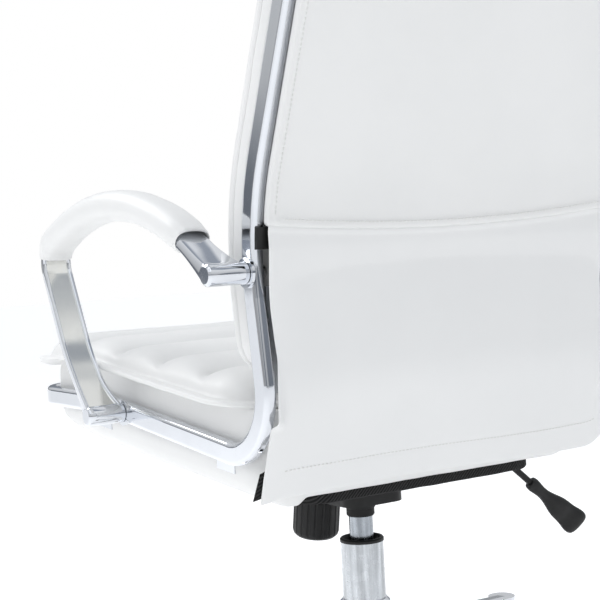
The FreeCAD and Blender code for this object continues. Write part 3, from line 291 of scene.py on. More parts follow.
def ribbed_cloth_material(name):
    """Black non-woven cover pressed with fine diagonal ribs."""
    material, tree, principled = shader(name)
    place = object_space(tree)
    ribs = tree.nodes.new("ShaderNodeTexWave")
    ribs.bands_direction = "DIAGONAL"
    ribs.inputs["Scale"].default_value = 150.0
    ribs.inputs["Distortion"].default_value = 0.6
    ribs.inputs["Detail"].default_value = 1.0
    tree.links.new(place, ribs.inputs["Vector"])
    tree.links.new(ramp(tree, ribs.outputs["Fac"], grey(0.006), grey(0.034), (0.2, 0.9)),
                   principled.inputs["Base Color"])
    principled.inputs["Roughness"].default_value = 0.85
    principled.inputs["Specular IOR Level"].default_value = 0.25
    first = bump(tree, principled, ribs.outputs["Fac"], 0.6, 0.0008)
    bump(tree, principled, noise_node(tree, place, 900.0), 0.3, 0.0003, first)
    return material


def plywood_material(name):
    material, tree, principled = shader(name)
    place = object_space(tree)
    stretch = tree.nodes.new("ShaderNodeMapping")
    stretch.inputs["Scale"].default_value = (6, 90, 90)
    tree.links.new(place, stretch.inputs["Vector"])
    grain = noise_node(tree, stretch.outputs[0], 1.0, 6.0)
    tree.links.new(ramp(tree, grain, (0.42, 0.29, 0.17), (0.66, 0.50, 0.33), (0.3, 0.7)),
                   principled.inputs["Base Color"])
    principled.inputs["Roughness"].default_value = 0.62
    bump(tree, principled, grain, 0.15, 0.0005)
    return material


WHITE = leather_material("leather_white", (0.850, 0.850, 0.842), (0.826, 0.828, 0.820))
# Apron leather: a smoother grain than the main leather, and a paler colour that is painted light, lifting the apron
# against the shade it hangs in.
WHITE_SMOOTH_PAINTED_LIGHT = leather_material("leather_white_smooth_painted_light", (0.870, 0.872, 0.866), (0.850, 0.853, 0.848), 0.7)
THREAD = simple_material("white_thread", (0.80, 0.80, 0.78), 0.6)
CHROME = chrome_material("chrome", (0.73, 0.75, 0.785))
CHROME_INNER = chrome_material("chrome_arm_inside", (0.82, 0.82, 0.79), 0.14)
COLUMN = streaked_material("column_plate", (0.60, 0.625, 0.65), 0.22)
CYLINDER = streaked_material("cylinder_plate", (0.40, 0.43, 0.465), 0.20)
BLACK = plastic_material("plastic_black", 0.014, 0.46)
COATED = plastic_material("steel_black", 0.012, 0.38, 0.6)
RUBBER = plastic_material("rubber_black", 0.014, 0.62)
ZINC = steel_material("steel_zinc", 0.62, 0.30)
RIBBED = ribbed_cloth_material("dust_cloth")
PLYWOOD = plywood_material("plywood")
FINISHES = {
    "chrome": CHROME, "leather_white": WHITE, "plastic_black": BLACK, "steel_black": COATED,
    "steel_zinc": ZINC, "rubber_black": RUBBER, "dust_cloth": RIBBED, "plywood": PLYWOOD,
}
SPECIAL_FINISHES = {"base_column": COLUMN, "gas_cylinder": CYLINDER}


def dress_cad_nodes():
    for entry in frame["record"]["subparts"]:
        node = NODES[entry["node"]]
        node.data.materials.clear()
        node.data.materials.append(SPECIAL_FINISHES.get(entry["node"], FINISHES[entry["material_slot"]]))


def coil_spring():
    """The tilt spring: a copy of the CAD spring with its own mesh, hung on the mechanism in place of the CAD part; it
    is not made to shorten as the chair leans back.
    """
    spring = NODES["tilt_spring"]
    coil = bpy.data.objects.new("tilt_spring_coil", spring.data.copy())
    coil.matrix_world = spring.matrix_world.copy()
    bpy.context.scene.collection.objects.link(coil)
    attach(coil, "mechanism")
    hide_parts("tilt_spring")
    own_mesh(coil)


# ---------------------------------------------------------------- mesh helpers

def new_object(name, points, faces, material):
    data = bpy.data.meshes.new(name)
    data.from_pydata([tuple(p) for p in points], [], [tuple(f) for f in faces])
    data.validate()
    data.materials.append(material)
    obj = bpy.data.objects.new(name, data)
    bpy.context.scene.collection.objects.link(obj)
    face_outwards(obj)
    for polygon in data.polygons:
        polygon.use_smooth = True
    return obj


def face_outwards(obj):
    mesh = bmesh.new()
    mesh.from_mesh(obj.data)
    bmesh.ops.recalc_face_normals(mesh, faces=mesh.faces)
    mesh.to_mesh(obj.data)
    mesh.free()


def apply_modifiers(obj):
    graph = bpy.context.evaluated_depsgraph_get()
    data = bpy.data.meshes.new_from_object(obj.evaluated_get(graph))
    obj.modifiers.clear()
    old, obj.data = obj.data, data
    bpy.data.meshes.remove(old)
    for polygon in data.polygons:
        polygon.use_smooth = True


def subdivide(obj, levels=1):
    modifier = obj.modifiers.new("subdivide", "SUBSURF")
    modifier.levels = modifier.render_levels = levels
    apply_modifiers(obj)


def read_points(obj):
    points = np.zeros(len(obj.data.vertices) * 3)
    obj.data.vertices.foreach_get("co", points)
    return points.reshape(-1, 3)


def write_points(obj, points):
    obj.data.vertices.foreach_set("co", np.asarray(points, float).ravel())
    obj.data.update()


def puff(obj, held, pressure=4.0, cap=0.006, frames=20):
    """Blow a pad up as cloth, with its seams held, and let no point move further than the cap."""
    start = read_points(obj)
    group = obj.vertex_groups.new(name="held")
    for index, weight in enumerate(held):
        if weight > 0.01:
            group.add([index], float(weight), "REPLACE")
    cloth = obj.modifiers.new("cloth", "CLOTH")
    settings = cloth.settings
    settings.quality = 5
    settings.mass = 0.3
    settings.tension_stiffness = settings.compression_stiffness = 14
    settings.shear_stiffness = 6
    settings.bending_stiffness = 0.6
    settings.vertex_group_mass = "held"
    settings.use_pressure = True
    settings.uniform_pressure_force = pressure
    settings.effector_weights.gravity = 0
    cloth.collision_settings.use_collision = False
    scene = bpy.context.scene
    scene.frame_start, scene.frame_end = 1, frames
    cloth.point_cache.frame_start, cloth.point_cache.frame_end = 1, frames
    for number in range(1, frames + 1):
        scene.frame_set(number)
    graph = bpy.context.evaluated_depsgraph_get()
    data = obj.evaluated_get(graph).to_mesh()
    points = np.zeros(len(data.vertices) * 3)
    data.vertices.foreach_get("co", points)
    moved = points.reshape(-1, 3) - start
    length = np.linalg.norm(moved, axis=1, keepdims=True)
    moved *= np.minimum(1.0, cap / np.maximum(length, 1e-9))
    obj.modifiers.clear()
    obj.vertex_groups.clear()
    write_points(obj, start + moved)
    scene.frame_set(1)


def wander(points, scale, seed=0.0):
    """Smooth noise from -1 to 1 at each point."""
    shift = Vector((seed, seed * 1.7, -seed))
    return np.array([noise.noise(Vector(p) * scale + shift) for p in points])


def wander_over(x, y, z, scale, seed):
    """Smooth noise over a grid given by its three coordinates."""
    return wander(np.stack([x, y, z], axis=-1).reshape(-1, 3), scale, seed).reshape(x.shape)


def rounded_path(corners, radii, step):
    """Points along straight runs joined by tangent arcs, and the direction at each; corners are (y, z)."""
    corners = [np.array(c, float) for c in corners]
    points = [corners[0]]
    for before, corner, after, radius in zip(corners, corners[1:], corners[2:], radii):
        a, b = before - corner, after - corner
        a, b = a / np.linalg.norm(a), b / np.linalg.norm(b)
        half = math.acos(max(-1, min(1, float(a @ b)))) / 2
        reach = radius / math.tan(half)
        start, stop = corner + a * reach, corner + b * reach
        centre = corner + (a + b) / np.linalg.norm(a + b) * radius / math.sin(half)
        spread = math.pi - 2 * half
        count = max(2, int(radius * spread / step) + 1)
        first, last = start - centre, stop - centre
        for k in range(count + 1):
            share = k / count
            points.append(centre + (first * math.sin((1 - share) * spread) + last * math.sin(share * spread))
                          / math.sin(spread))
    points.append(corners[-1])
    dense = np.array(points)
    along = np.concatenate([[0], np.cumsum(np.linalg.norm(np.diff(dense, axis=0), axis=1))])
    stations = np.linspace(0, along[-1], max(2, int(along[-1] / step) + 1))
    line = np.stack([np.interp(stations, along, dense[:, k]) for k in (0, 1)], axis=1)
    heading = np.gradient(line, axis=0)
    heading /= np.linalg.norm(heading, axis=1, keepdims=True)
    return line, heading, stations


# ---------------------------------------------------------------- lines the chair is built on

SEAT_SLOPE = math.radians(4.3)
SEAT_Z = 0.368
BACK_CORNERS = [(0.1785, 0.395), (0.158, 0.590), (0.290, 0.901), (0.3365, 1.086)]
BACK_RADII = [0.280, 0.420]
BACK_LINE, BACK_HEADING = rounded_path(BACK_CORNERS, BACK_RADII, 0.004)[:2]


def seat_plane(y):
    return SEAT_Z - math.tan(SEAT_SLOPE) * y


def back_place(x, height, forward):
    """A point at a height of the back's line, so far in front of it."""
    y = np.interp(height, BACK_LINE[:, 1], BACK_LINE[:, 0])
    dy = np.interp(height, BACK_LINE[:, 1], BACK_HEADING[:, 0])
    dz = np.interp(height, BACK_LINE[:, 1], BACK_HEADING[:, 1])
    return np.stack([x, y - dz * forward, height + dy * forward], axis=-1)


def level(table, y):
    ys, zs = zip(*sorted(table))
    return np.interp(y, ys, zs)


def rounded_sheet(half, low, high, corner_low, corner_high, across, along):
    """A grid that fills a rounded rectangle: x and t of each point, and its distance in from the outline."""
    spread = np.linspace(-1, 1, across)
    u = np.sign(spread) * (1 - (1 - np.abs(spread)) ** 1.25)
    share = (1 - np.cos(np.linspace(0, math.pi, along))) / 2
    t = low + (high - low) * (0.72 * np.linspace(0, 1, along) + 0.28 * share)
    inset = np.zeros(along)
    for corner, gap in ((corner_low, t - low), (corner_high, high - t)):
        near = np.clip(corner - gap, 0, corner)
        inset = np.maximum(inset, corner - np.sqrt(np.maximum(corner ** 2 - near ** 2, 0)))
    x = u[None, :] * (half - inset)[:, None]
    t = np.repeat(t[:, None], across, axis=1)
    corner = np.where(t < (low + high) / 2, corner_low, corner_high)
    qx = np.abs(x) - half + corner
    qt = np.abs(t - (low + high) / 2) - (high - low) / 2 + corner
    outside = np.sqrt(np.maximum(qx, 0) ** 2 + np.maximum(qt, 0) ** 2)
    distance = corner - outside - np.minimum(np.maximum(qx, qt), 0)
    return x, t, np.maximum(distance, 0)


def closed_slab(name, upper, lower, rim, material):
    """Join an upper and a lower grid of the same size by rings of points round their edge."""
    rows, columns = upper.shape[:2]
    index = np.arange(rows * columns).reshape(rows, columns)
    points = [upper.reshape(-1, 3), lower.reshape(-1, 3)]
    faces = []
    for base in (0, rows * columns):
        for j in range(rows - 1):
            for i in range(columns - 1):
                a, b, c, d = index[j, i], index[j, i + 1], index[j + 1, i + 1], index[j + 1, i]
                faces.append((a + base, b + base, c + base, d + base))
    edge = np.concatenate([index[0, :-1], index[:-1, -1], index[-1, :0:-1], index[:0:-1, 0]])
    rings = [edge]
    total = 2 * rows * columns
    for ring in rim:
        points.append(ring)
        rings.append(np.arange(total, total + len(edge)))
        total += len(edge)
    rings.append(edge + rows * columns)
    for first, second in zip(rings, rings[1:]):
        for k in range(len(edge)):
            n = (k + 1) % len(edge)
            faces.append((first[k], first[n], second[n], second[k]))
    return new_object(name, np.concatenate(points), faces, material)


def edge_of(grid):
    return np.concatenate([grid[0, :-1], grid[:-1, -1], grid[-1, :0:-1], grid[:0:-1, 0]])


def lobes(place, pitch, depth):
    """Crowned channels with narrow valleys between them."""
    phase = np.abs(place / pitch - np.round(place / pitch)) * 2
    return -depth * (1 - np.sqrt(np.maximum(1 - (1 - phase) ** 1.9, 0))), phase


# ---------------------------------------------------------------- seat

# heights of the pad's sewn edge and of its crown, from the back (y 0.150) to the front
FLANGE = [(0.150, 0.404), (0.010, 0.417), (-0.100, 0.4275), (-0.166, 0.4345), (-0.240, 0.4405), (-0.300, 0.4415),
          (-0.345, 0.4375), (-0.372, 0.431), (-0.386, 0.4245)]
CREST = [(0.150, 0.4345), (0.0, 0.449), (-0.07, 0.4545), (-0.20, 0.4645), (-0.29, 0.470), (-0.335, 0.4685),
         (-0.365, 0.4595), (-0.386, 0.448)]
SEAT_PITCH, SEAT_SEAM = 0.1015, 0.0205
RAIL_INNER = 0.2202


def seat_pad():
    """Quilted pad: channels across the seat that turn back at the sides, and a thin sewn flange all round."""
    x, t, d = rounded_sheet(0.244, -0.385, 0.140, 0.050, 0.070, 112, 122)
    lip = 0.013
    rise = np.clip((d - lip) / 0.052, 0, 1)
    crown = np.sqrt(np.maximum(1 - (1 - rise) ** 2.4, 0))
    rim = level(FLANGE, t) + 0.006
    top = level(CREST, t)
    bend = 0.045 * np.clip((np.abs(x) - 0.192) / 0.045, 0, 1) ** 2
    channel, phase = lobes(t - bend - SEAT_SEAM, SEAT_PITCH, 0.0200)
    z = rim + (top - rim) * crown + channel * np.clip(rise * 1.6, 0, 1)
    ripple = wander_over(x, t, z, 26.0, 3.0)
    z += 0.0016 * ripple * np.clip(1 - d / 0.05, 0, 1)
    seam = np.exp(-((d - lip) / 0.0022) ** 2)
    z -= 0.0022 * seam
    upper = np.stack([x, t, z], axis=-1)
    under = level(FLANGE, t) + 0.0016 * ripple * np.clip(1 - d / 0.05, 0, 1)
    lower = np.stack([x, t, under + 0.0003], axis=-1)
    top_edge, low_edge = edge_of(upper), edge_of(lower)
    middle = (top_edge + low_edge) / 2
    outward = middle * [1, 1, 0] - [0, -0.12, 0]
    outward /= np.linalg.norm(outward, axis=1, keepdims=True)
    rings = [middle + (top_edge - middle) * k + outward * 0.0022 * (1 - k * k) for k in (0.75, 0.3, -0.3, -0.75)]
    pad = closed_slab("seat_cushion", upper, lower, rings, WHITE)
    count = x.size
    held = np.zeros(len(pad.data.vertices))
    held[:count] = np.maximum(np.exp(-(phase / 0.10) ** 2), np.exp(-(d / 0.018) ** 2)).ravel()
    held[count:] = 1.0
    puff(pad, held, 5.0, 0.0045)
    points = read_points(pad)
    tired = wander(points, 7.0, 11.0) * 0.0012 + wander(points * [1.0, 2.4, 1.0], 30.0, 5.0) * 0.0006
    points[:count, 2] += tired[:count] * np.clip(d.ravel() / 0.03, 0, 1)
    write_points(pad, points)
    subdivide(pad)
    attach(pad, "chair")
    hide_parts("seat_pad")
    return pad


def seat_base():
    """Leather pulled round the foam below the pad and tucked under its board."""
    x, t, d = rounded_sheet(0.2155, -0.3755, 0.152, 0.040, 0.040, 84, 92)
    top = level(FLANGE, t) - 0.0006
    front_roll = 0.020 * np.clip((-t - 0.30) / 0.075, 0, 1) ** 2
    side_low = seat_plane(t) - 0.0445 + front_roll
    from_side = np.clip((0.2155 - np.abs(x)) / 0.034, 0, 1)
    belly = from_side * np.clip((t + 0.3755) / 0.10, 0, 1) * np.clip((0.152 - t) / 0.018, 0, 1)
    belly = belly * belly * (3 - 2 * belly)
    round_edge = 0.020 * (1 - np.sqrt(np.maximum(1 - (1 - np.clip(d / 0.022, 0, 1)) ** 2, 0)))
    over_board = (np.abs(x) < 0.1665) & (t > -0.2560) & (t < 0.1345)
    drop = np.where(over_board, 0.0027, np.where(x > 0.1665, 0.0120, 0.0050))
    low = side_low - drop * belly + round_edge
    pleat = wander_over(x, t, low, 34.0, 8.0)
    low += 0.0014 * pleat * np.clip(1 - np.abs(d - 0.03) / 0.03, 0, 1)
    upper, lower = np.stack([x, t, top], axis=-1), np.stack([x, t, low], axis=-1)
    top_edge, low_edge = edge_of(upper), edge_of(lower)
    outward = top_edge * [1, 1, 0] - [0, -0.11, 0]
    outward /= np.linalg.norm(outward, axis=1, keepdims=True)
    rings = []
    for share in np.linspace(0.03, 0.97, 9):
        swell = 0.0045 * math.sin(math.pi * share) ** 0.7
        ring = top_edge + (low_edge - top_edge) * share
        pull = wander(ring, 22.0, 2.0)[:, None]
        rings.append(ring + outward * (swell + 0.0010 * pull * math.sin(math.pi * share)))
    base = closed_slab("seat_base_leather", upper, lower, rings, WHITE)
    held = np.ones(len(base.data.vertices))
    held[2 * x.size:] = 0.35
    held[x.size:2 * x.size] = np.clip(1 - np.minimum(d.ravel() / 0.03, 1) * 0.5, 0, 1)
    puff(base, held, 3.0, 0.003, 12)
    points = read_points(base)
    points[:, 0] = np.clip(points[:, 0], -RAIL_INNER, RAIL_INNER)
    under_rail = np.clip((seat_plane(points[:, 1]) - 0.0080 - points[:, 2]) / 0.004, 0, 1)
    near_rail = np.clip((np.abs(points[:, 0]) - 0.195) / 0.015, 0, 1)
    points[:, 0] += np.sign(points[:, 0]) * 0.0034 * under_rail * near_rail
    write_points(base, points)
    subdivide(base)
    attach(base, "chair")
    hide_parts("seat_base")


def dust_cover():
    """Black ribbed cloth stretched under the seat board and stapled round its edge."""
    x, t, d = rounded_sheet(0.1628, -0.2528, 0.1306, 0.034, 0.034, 70, 80)
    sag = 0.0012 * np.clip(d / 0.05, 0, 1)
    edge_lift = 0.0022 * (1 - np.sqrt(np.maximum(1 - (1 - np.clip(d / 0.004, 0, 1)) ** 2, 0)))
    ripple = wander_over(x, t, x * 0, 45.0, 4.0)
    outer = seat_plane(t) - 0.0612 - sag + edge_lift + 0.0006 * ripple * np.exp(-(d / 0.02) ** 2)
    lower = np.stack([x, t, outer], axis=-1)
    upper = lower + [0, 0, 0.0009]
    foot = edge_of(lower)
    outward = foot * [1, 1, 0] - [0, -0.061, 0]
    outward /= np.linalg.norm(outward, axis=1, keepdims=True)
    brim = foot.copy()
    brim[:, 2] = seat_plane(foot[:, 1]) - 0.0370
    walls = [foot + (brim - foot) * share - outward * 0.0009 for share in (0.3, 0.7, 1.0)]
    walls += [foot + (brim - foot) * share for share in (1.0, 0.7, 0.3)]
    cloth = closed_slab("dust_cloth_cover", upper, lower, walls, RIBBED)
    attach(cloth, "chair")
    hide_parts("dust_cover")


# ---------------------------------------------------------------- back

def back_pad():
    """Quilted front of the back, with a sewn gusset round its side."""
    low, high = 0.449, 1.068
    x, t, d = rounded_sheet(0.2325, low, high, 0.030, 0.054, 104, 150)
    crown = np.sqrt(np.maximum(1 - (1 - np.clip(d / 0.040, 0, 1)) ** 2.3, 0))
    bend = 0.050 * np.clip((np.abs(x) - 0.160) / 0.070, 0, 1) ** 2
    channel, phase = lobes(t + bend - 0.520, 0.100, 0.0115)
    lumbar = 0.010 * np.exp(-((t - 0.62) / 0.11) ** 2) * np.clip(d / 0.12, 0, 1)
    forward = 0.036 + 0.013 * crown + lumbar + channel * np.clip(d / 0.035, 0, 1)
    piping = np.exp(-((d - 0.0035) / 0.0032) ** 2)
    forward += 0.0022 * piping - 0.0016 * np.exp(-((d - 0.0105) / 0.002) ** 2)
    upper = back_place(x, t, forward)
    lower = back_place(x, t, np.full_like(x, 0.0128))
    top_edge, low_edge = edge_of(upper), edge_of(lower)
    outward = np.stack([edge_of(x), edge_of(t) * 0, (edge_of(t) - (low + high) / 2) * 0.6], axis=1)
    outward /= np.linalg.norm(outward, axis=1, keepdims=True)
    rings = []
    for share in (0.04, 0.12, 0.22, 0.32, 0.38, 0.41, 0.43, 0.45, 0.48, 0.54, 0.64, 0.76, 0.88, 0.96):
        ring = top_edge + (low_edge - top_edge) * share
        swell = 0.0022 * math.sin(math.pi * share)
        swell += 0.0016 * math.exp(-((share - 0.22) / 0.12) ** 2) - 0.0032 * math.exp(-((share - 0.43) / 0.03) ** 2)
        pull = wander(ring, 30.0, 6.0)[:, None]
        rings.append(ring + outward * (swell + 0.0007 * pull))
    pad = closed_slab("back_cushion", upper, lower, rings, WHITE)
    count = x.size
    held = np.zeros(len(pad.data.vertices))
    held[:count] = np.maximum(np.exp(-(phase / 0.10) ** 2), np.exp(-(d / 0.016) ** 2)).ravel()
    held[count:2 * count] = 1.0
    held[2 * count:] = 0.9
    puff(pad, held, 5.0, 0.0045)
    points = read_points(pad)
    tired = wander(points, 8.0, 21.0) * 0.0010 + wander(points * [1.0, 1.0, 2.4], 28.0, 9.0) * 0.0006
    points[:count, 1] += tired[:count] * np.clip(d.ravel() / 0.03, 0, 1)
    write_points(pad, points)
    subdivide(pad)
    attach(pad, "chair")
    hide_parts("back_pad")


def seam_height(x):
    """The seam between cover and apron sags in the middle and sits a little higher on one side."""
    return 0.5828 - 0.0121 * x + 0.2206 * x ** 2


# half the cover's width behind the tube, and how far its side seam stands in from its edge
COVER_HALF, COVER_SEAM = 0.2255, 0.0050
# the leather hangs no further forward than this over the crossbar's screw heads
SCREW_COVER_Y = 0.1896


def back_cover():
    """Smooth leather panel behind the back; its lip laps over the tube, with a seam just in from the edge."""
    low, high = 0.588, 1.027
    x, t, _ = rounded_sheet(COVER_HALF, low, high, 0.002, 0.050, 120, 110)
    side = np.minimum(COVER_HALF - np.abs(x), high - t)
    side = np.maximum(side, 0)
    bottom = seam_height(x)
    t = bottom + (t - low) * (high - bottom) / (high - low)
    crown = np.sqrt(np.maximum(1 - (1 - np.clip(side / 0.0045, 0, 1)) ** 2, 0))
    rear = 0.0202 + 0.0030 * crown + 0.0024 * np.clip(side / 0.10, 0, 1)
    rear -= 0.0012 * np.exp(-((side - COVER_SEAM) / 0.0012) ** 2)
    rear += 0.0005 * np.exp(-((side - COVER_SEAM - 0.0045) / 0.0030) ** 2)
    near_seam = t - bottom
    rear += 0.0012 * np.exp(-((near_seam - 0.005) / 0.004) ** 2)
    wave = wander_over(x, t * 0.45, x * 0, 9.0, 14.0)
    fine = wander_over(x, t * 3.0, x * 0, 24.0, 15.0)
    rear += 0.0008 * wave + 0.0005 * fine * np.exp(-(near_seam / 0.03) ** 2)
    upper = back_place(x, t, -rear)
    between = 0.2200 / COVER_HALF  # narrower where it passes between the tubes
    lower = back_place(x * between, t, np.full_like(x, -0.0030))
    edge_x, edge_t = edge_of(x), edge_of(t)
    rings = [back_place(edge_x * share, edge_t, np.full_like(edge_x, -depth))
             for share, depth in ((1.0, 0.0178), (1.0, 0.0154), (between, 0.0148), (between, 0.0090))]
    cover = closed_slab("rear_cover", upper, lower, rings, WHITE)
    subdivide(cover)
    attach(cover, "chair")
    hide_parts("back_cover")


APRON_LINE = rounded_path([(0.1835, 0.592), (0.1895, 0.430), (0.1655, 0.316)], [0.140], 0.003)[0]
# heights from the hem up, and half the apron's width there
APRON_HALF_WIDTH = [(0.322, 0.2328), (0.400, 0.2253), (0.460, 0.2186), (0.530, 0.2232), (0.587, 0.2240)]


def back_apron():
    """Plain leather panel hung from the seam; its hem is folded and sewn, and its corners droop."""
    columns, rows = 96, 76
    u = np.linspace(-1, 1, columns)
    v = np.linspace(0, 1, rows)
    u, v = np.meshgrid(u, v)
    half = np.interp(0.587 - 0.265 * v, *zip(*APRON_HALF_WIDTH))
    x = u * half
    top = seam_height(x) - 0.001
    droop = -0.0045 * np.clip((u - 0.80) / 0.20, 0, 1) ** 2
    upturn = 0.0130 * np.clip((-u - 0.86) / 0.14, 0, 1) ** 2
    foot = 0.3200 + droop + upturn + 0.0015 * np.sin(u * 4.0 + 0.8)
    z = top + (foot - top) * v
    y = np.interp(z, APRON_LINE[::-1, 1], APRON_LINE[::-1, 0])
    seamed = np.interp(z, [0.560, 0.592], [0.0, 1.0])
    cover_y = np.interp(z, BACK_LINE[:, 1], BACK_LINE[:, 0]) + 0.0235
    y = y * (1 - seamed) + cover_y * seamed
    y += 0.0040 * np.cos(u * math.pi / 2) * np.sin(math.pi * v) ** 0.8
    wave = wander_over(x, z * 0.35, x * 0, 11.0, 31.0)
    sides = np.clip((np.abs(u) - 0.86) / 0.14, 0, 1)
    y += 0.0013 * wave * np.sin(math.pi * np.clip(v * 1.1, 0, 1))
    y -= 0.0035 * sides ** 2
    y = np.maximum(y, SCREW_COVER_Y - 0.12 * np.maximum(0.567 - z, 0))
    tube_rear = np.interp(z, BACK_LINE[:, 1], BACK_LINE[:, 0]) + 0.0142
    beside_tube = np.clip((np.abs(x) - 0.213) / 0.006, 0, 1) * (z > 0.392)
    y += np.maximum(tube_rear - y, 0) * beside_tube
    folds = wander_over(x * 1.6, z * 0.5, x * 0, 26.0, 33.0)
    y += 0.0007 * folds * (v ** 2) + 0.0006 * folds * (1 - v) ** 4
    from_hem = np.abs((v - 1) * (foot - top))
    y -= 0.0008 * np.exp(-((from_hem - 0.027) / 0.0014) ** 2)
    from_top = np.abs(top - z)
    y += 0.0016 * np.exp(-((from_top - 0.0035) / 0.0026) ** 2) - 0.0010 * np.exp(-((from_top - 0.0085) / 0.0011) ** 2)
    outer = np.stack([x, y, z], axis=-1)
    inner = outer - [0, 0.0022, 0]
    # the apron takes the paler leather copy, whose extra lightness is painted light for its shade
    apron = closed_slab("rear_apron", outer, inner, [], WHITE_SMOOTH_PAINTED_LIGHT)
    subdivide(apron)
    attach(apron, "chair")
    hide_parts("back_apron")
    return outer


def stitch_row(name, points, normals, length=0.0034, gap=0.0014, width=0.00055):
    """Thread laid along a seam: short rounded stitches with gaps between them."""
    line = np.asarray(points, float)
    along = np.concatenate([[0], np.cumsum(np.linalg.norm(np.diff(line, axis=0), axis=1))])
    pitch = length + gap
    count = int(along[-1] / pitch)
    starts = np.arange(count) * pitch
    vertices, faces = [], []
    ring = [(math.cos(a), math.sin(a)) for a in np.linspace(0, 2 * math.pi, 6, endpoint=False)]
    at = lambda s: np.stack([np.interp(s, along, line[:, k]) for k in range(3)], axis=-1)
    out = lambda s: np.stack([np.interp(s, along, np.asarray(normals)[:, k]) for k in range(3)], axis=-1)
    for begin in starts:
        base = len(vertices)
        places = [begin, begin + length * 0.18, begin + length * 0.5, begin + length * 0.82, begin + length]
        for place, lift, fat in zip(places, (-0.6, 0.4, 0.75, 0.4, -0.6), (0.35, 0.95, 1.0, 0.95, 0.35)):
            centre, normal = at(place), out(place)
            ahead = at(place + 0.0005) - at(place - 0.0005)
            ahead /= max(np.linalg.norm(ahead), 1e-9)
            side = np.cross(ahead, normal)
            for c, s in ring:
                vertices.append(centre + normal * (lift * width + s * width * fat) + side * c * width * fat)
        for k in range(4):
            for m in range(6):
                n = (m + 1) % 6
                faces.append((base + k * 6 + m, base + k * 6 + n, base + (k + 1) * 6 + n, base + (k + 1) * 6 + m))
        faces.append(tuple(base + m for m in range(5, -1, -1)))
        faces.append(tuple(base + 24 + m for m in range(6)))
    row = new_object(name, vertices, faces, THREAD)
    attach(row, "chair")
    return row


def rear_stitches(apron):
    """A row of thread over the rear seam, one down each side of the cover, and one over the apron's hem."""
    across = np.linspace(-0.212, 0.212, 90)
    facing = np.tile([0.0, 1.0, 0.0], (len(across), 1))
    seam = seam_height(across)
    cover_y = np.interp(seam, BACK_LINE[:, 1], BACK_LINE[:, 0]) + 0.0262
    stitch_row("stitches_above_seam", np.stack([across, cover_y + 0.0022, seam + 0.0040], axis=1), facing)
    low = np.array([[np.interp(a, apron[-9, :, 0], apron[-9, :, k]) for k in range(3)] for a in across])
    stitch_row("stitches_hem", low + [0, 0.0001, 0], facing)
    heights = np.linspace(0.604, 0.975, 130)
    for side, label in ((1, "left"), (-1, "right")):
        x = np.full_like(heights, (COVER_HALF - COVER_SEAM - 0.0036) * side)
        line = back_place(x, heights, np.full_like(heights, -0.0238))
        normal = back_place(x, heights, np.full_like(heights, -1.0)) - back_place(x, heights, np.zeros_like(heights))
        stitch_row(f"stitches_cover_{label}", line, normal)


def lining_corner():
    """Black lining that shows beside the apron's lower left corner."""
    u, v = np.meshgrid(np.linspace(0, 1, 8), np.linspace(0, 1, 10))
    x = 0.2240 + (0.0140 - 0.0070 * v) * u
    z = 0.3225 + 0.027 * v - 0.004 * u
    y = 0.1605 + 0.0045 * v - 0.0030 * u ** 2
    outer = np.stack([x, y, z], axis=-1)
    patch = closed_slab("apron_lining_corner", outer, outer - [0, 0.0010, 0], [], RIBBED)
    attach(patch, "chair")


# ---------------------------------------------------------------- arms

ARM_CORNERS = [(-0.128, 0.386), (-0.1825, 0.456), (-0.241, 0.5765), (-0.021, 0.6635), (0.165, 0.544)]
ARM_RADII = [0.184, 0.030, 0.359]
ARM_OUTER, ARM_INNER, BOSS_INNER = 0.283, 0.2475, 0.2385
ARM_LINE, ARM_HEADING, ARM_ALONG = rounded_path(ARM_CORNERS, ARM_RADII, 0.0035)
SLEEVE_FROM, SLEEVE_TO = 0.2115, 0.5735


def strip_section(inner, thick):
    """Channel section of the arm strip: rounded back, and a shallow recess between two rims on the loop's inside."""
    outer = ARM_OUTER
    half, rim, deep = thick / 2, 0.0042, 0.0032
    return [
        (inner + 0.005, half), (outer - 0.005, half), (outer - 0.0018, half - 0.0014), (outer, half - 0.0046),
        (outer, -half + 0.0016), (outer - 0.0009, -half + 0.0003), (outer - 0.0020, -half),
        (outer - rim + 0.0008, -half), (outer - rim, -half + 0.0007), (outer - rim - 0.0005, -half + deep),
        (inner + rim + 0.0005, -half + deep), (inner + rim, -half + 0.0007), (inner + rim - 0.0008, -half),
        (inner + 0.0020, -half), (inner + 0.0009, -half + 0.0003), (inner, -half + 0.0016),
        (inner, half - 0.0046), (inner + 0.0018, half - 0.0014)]


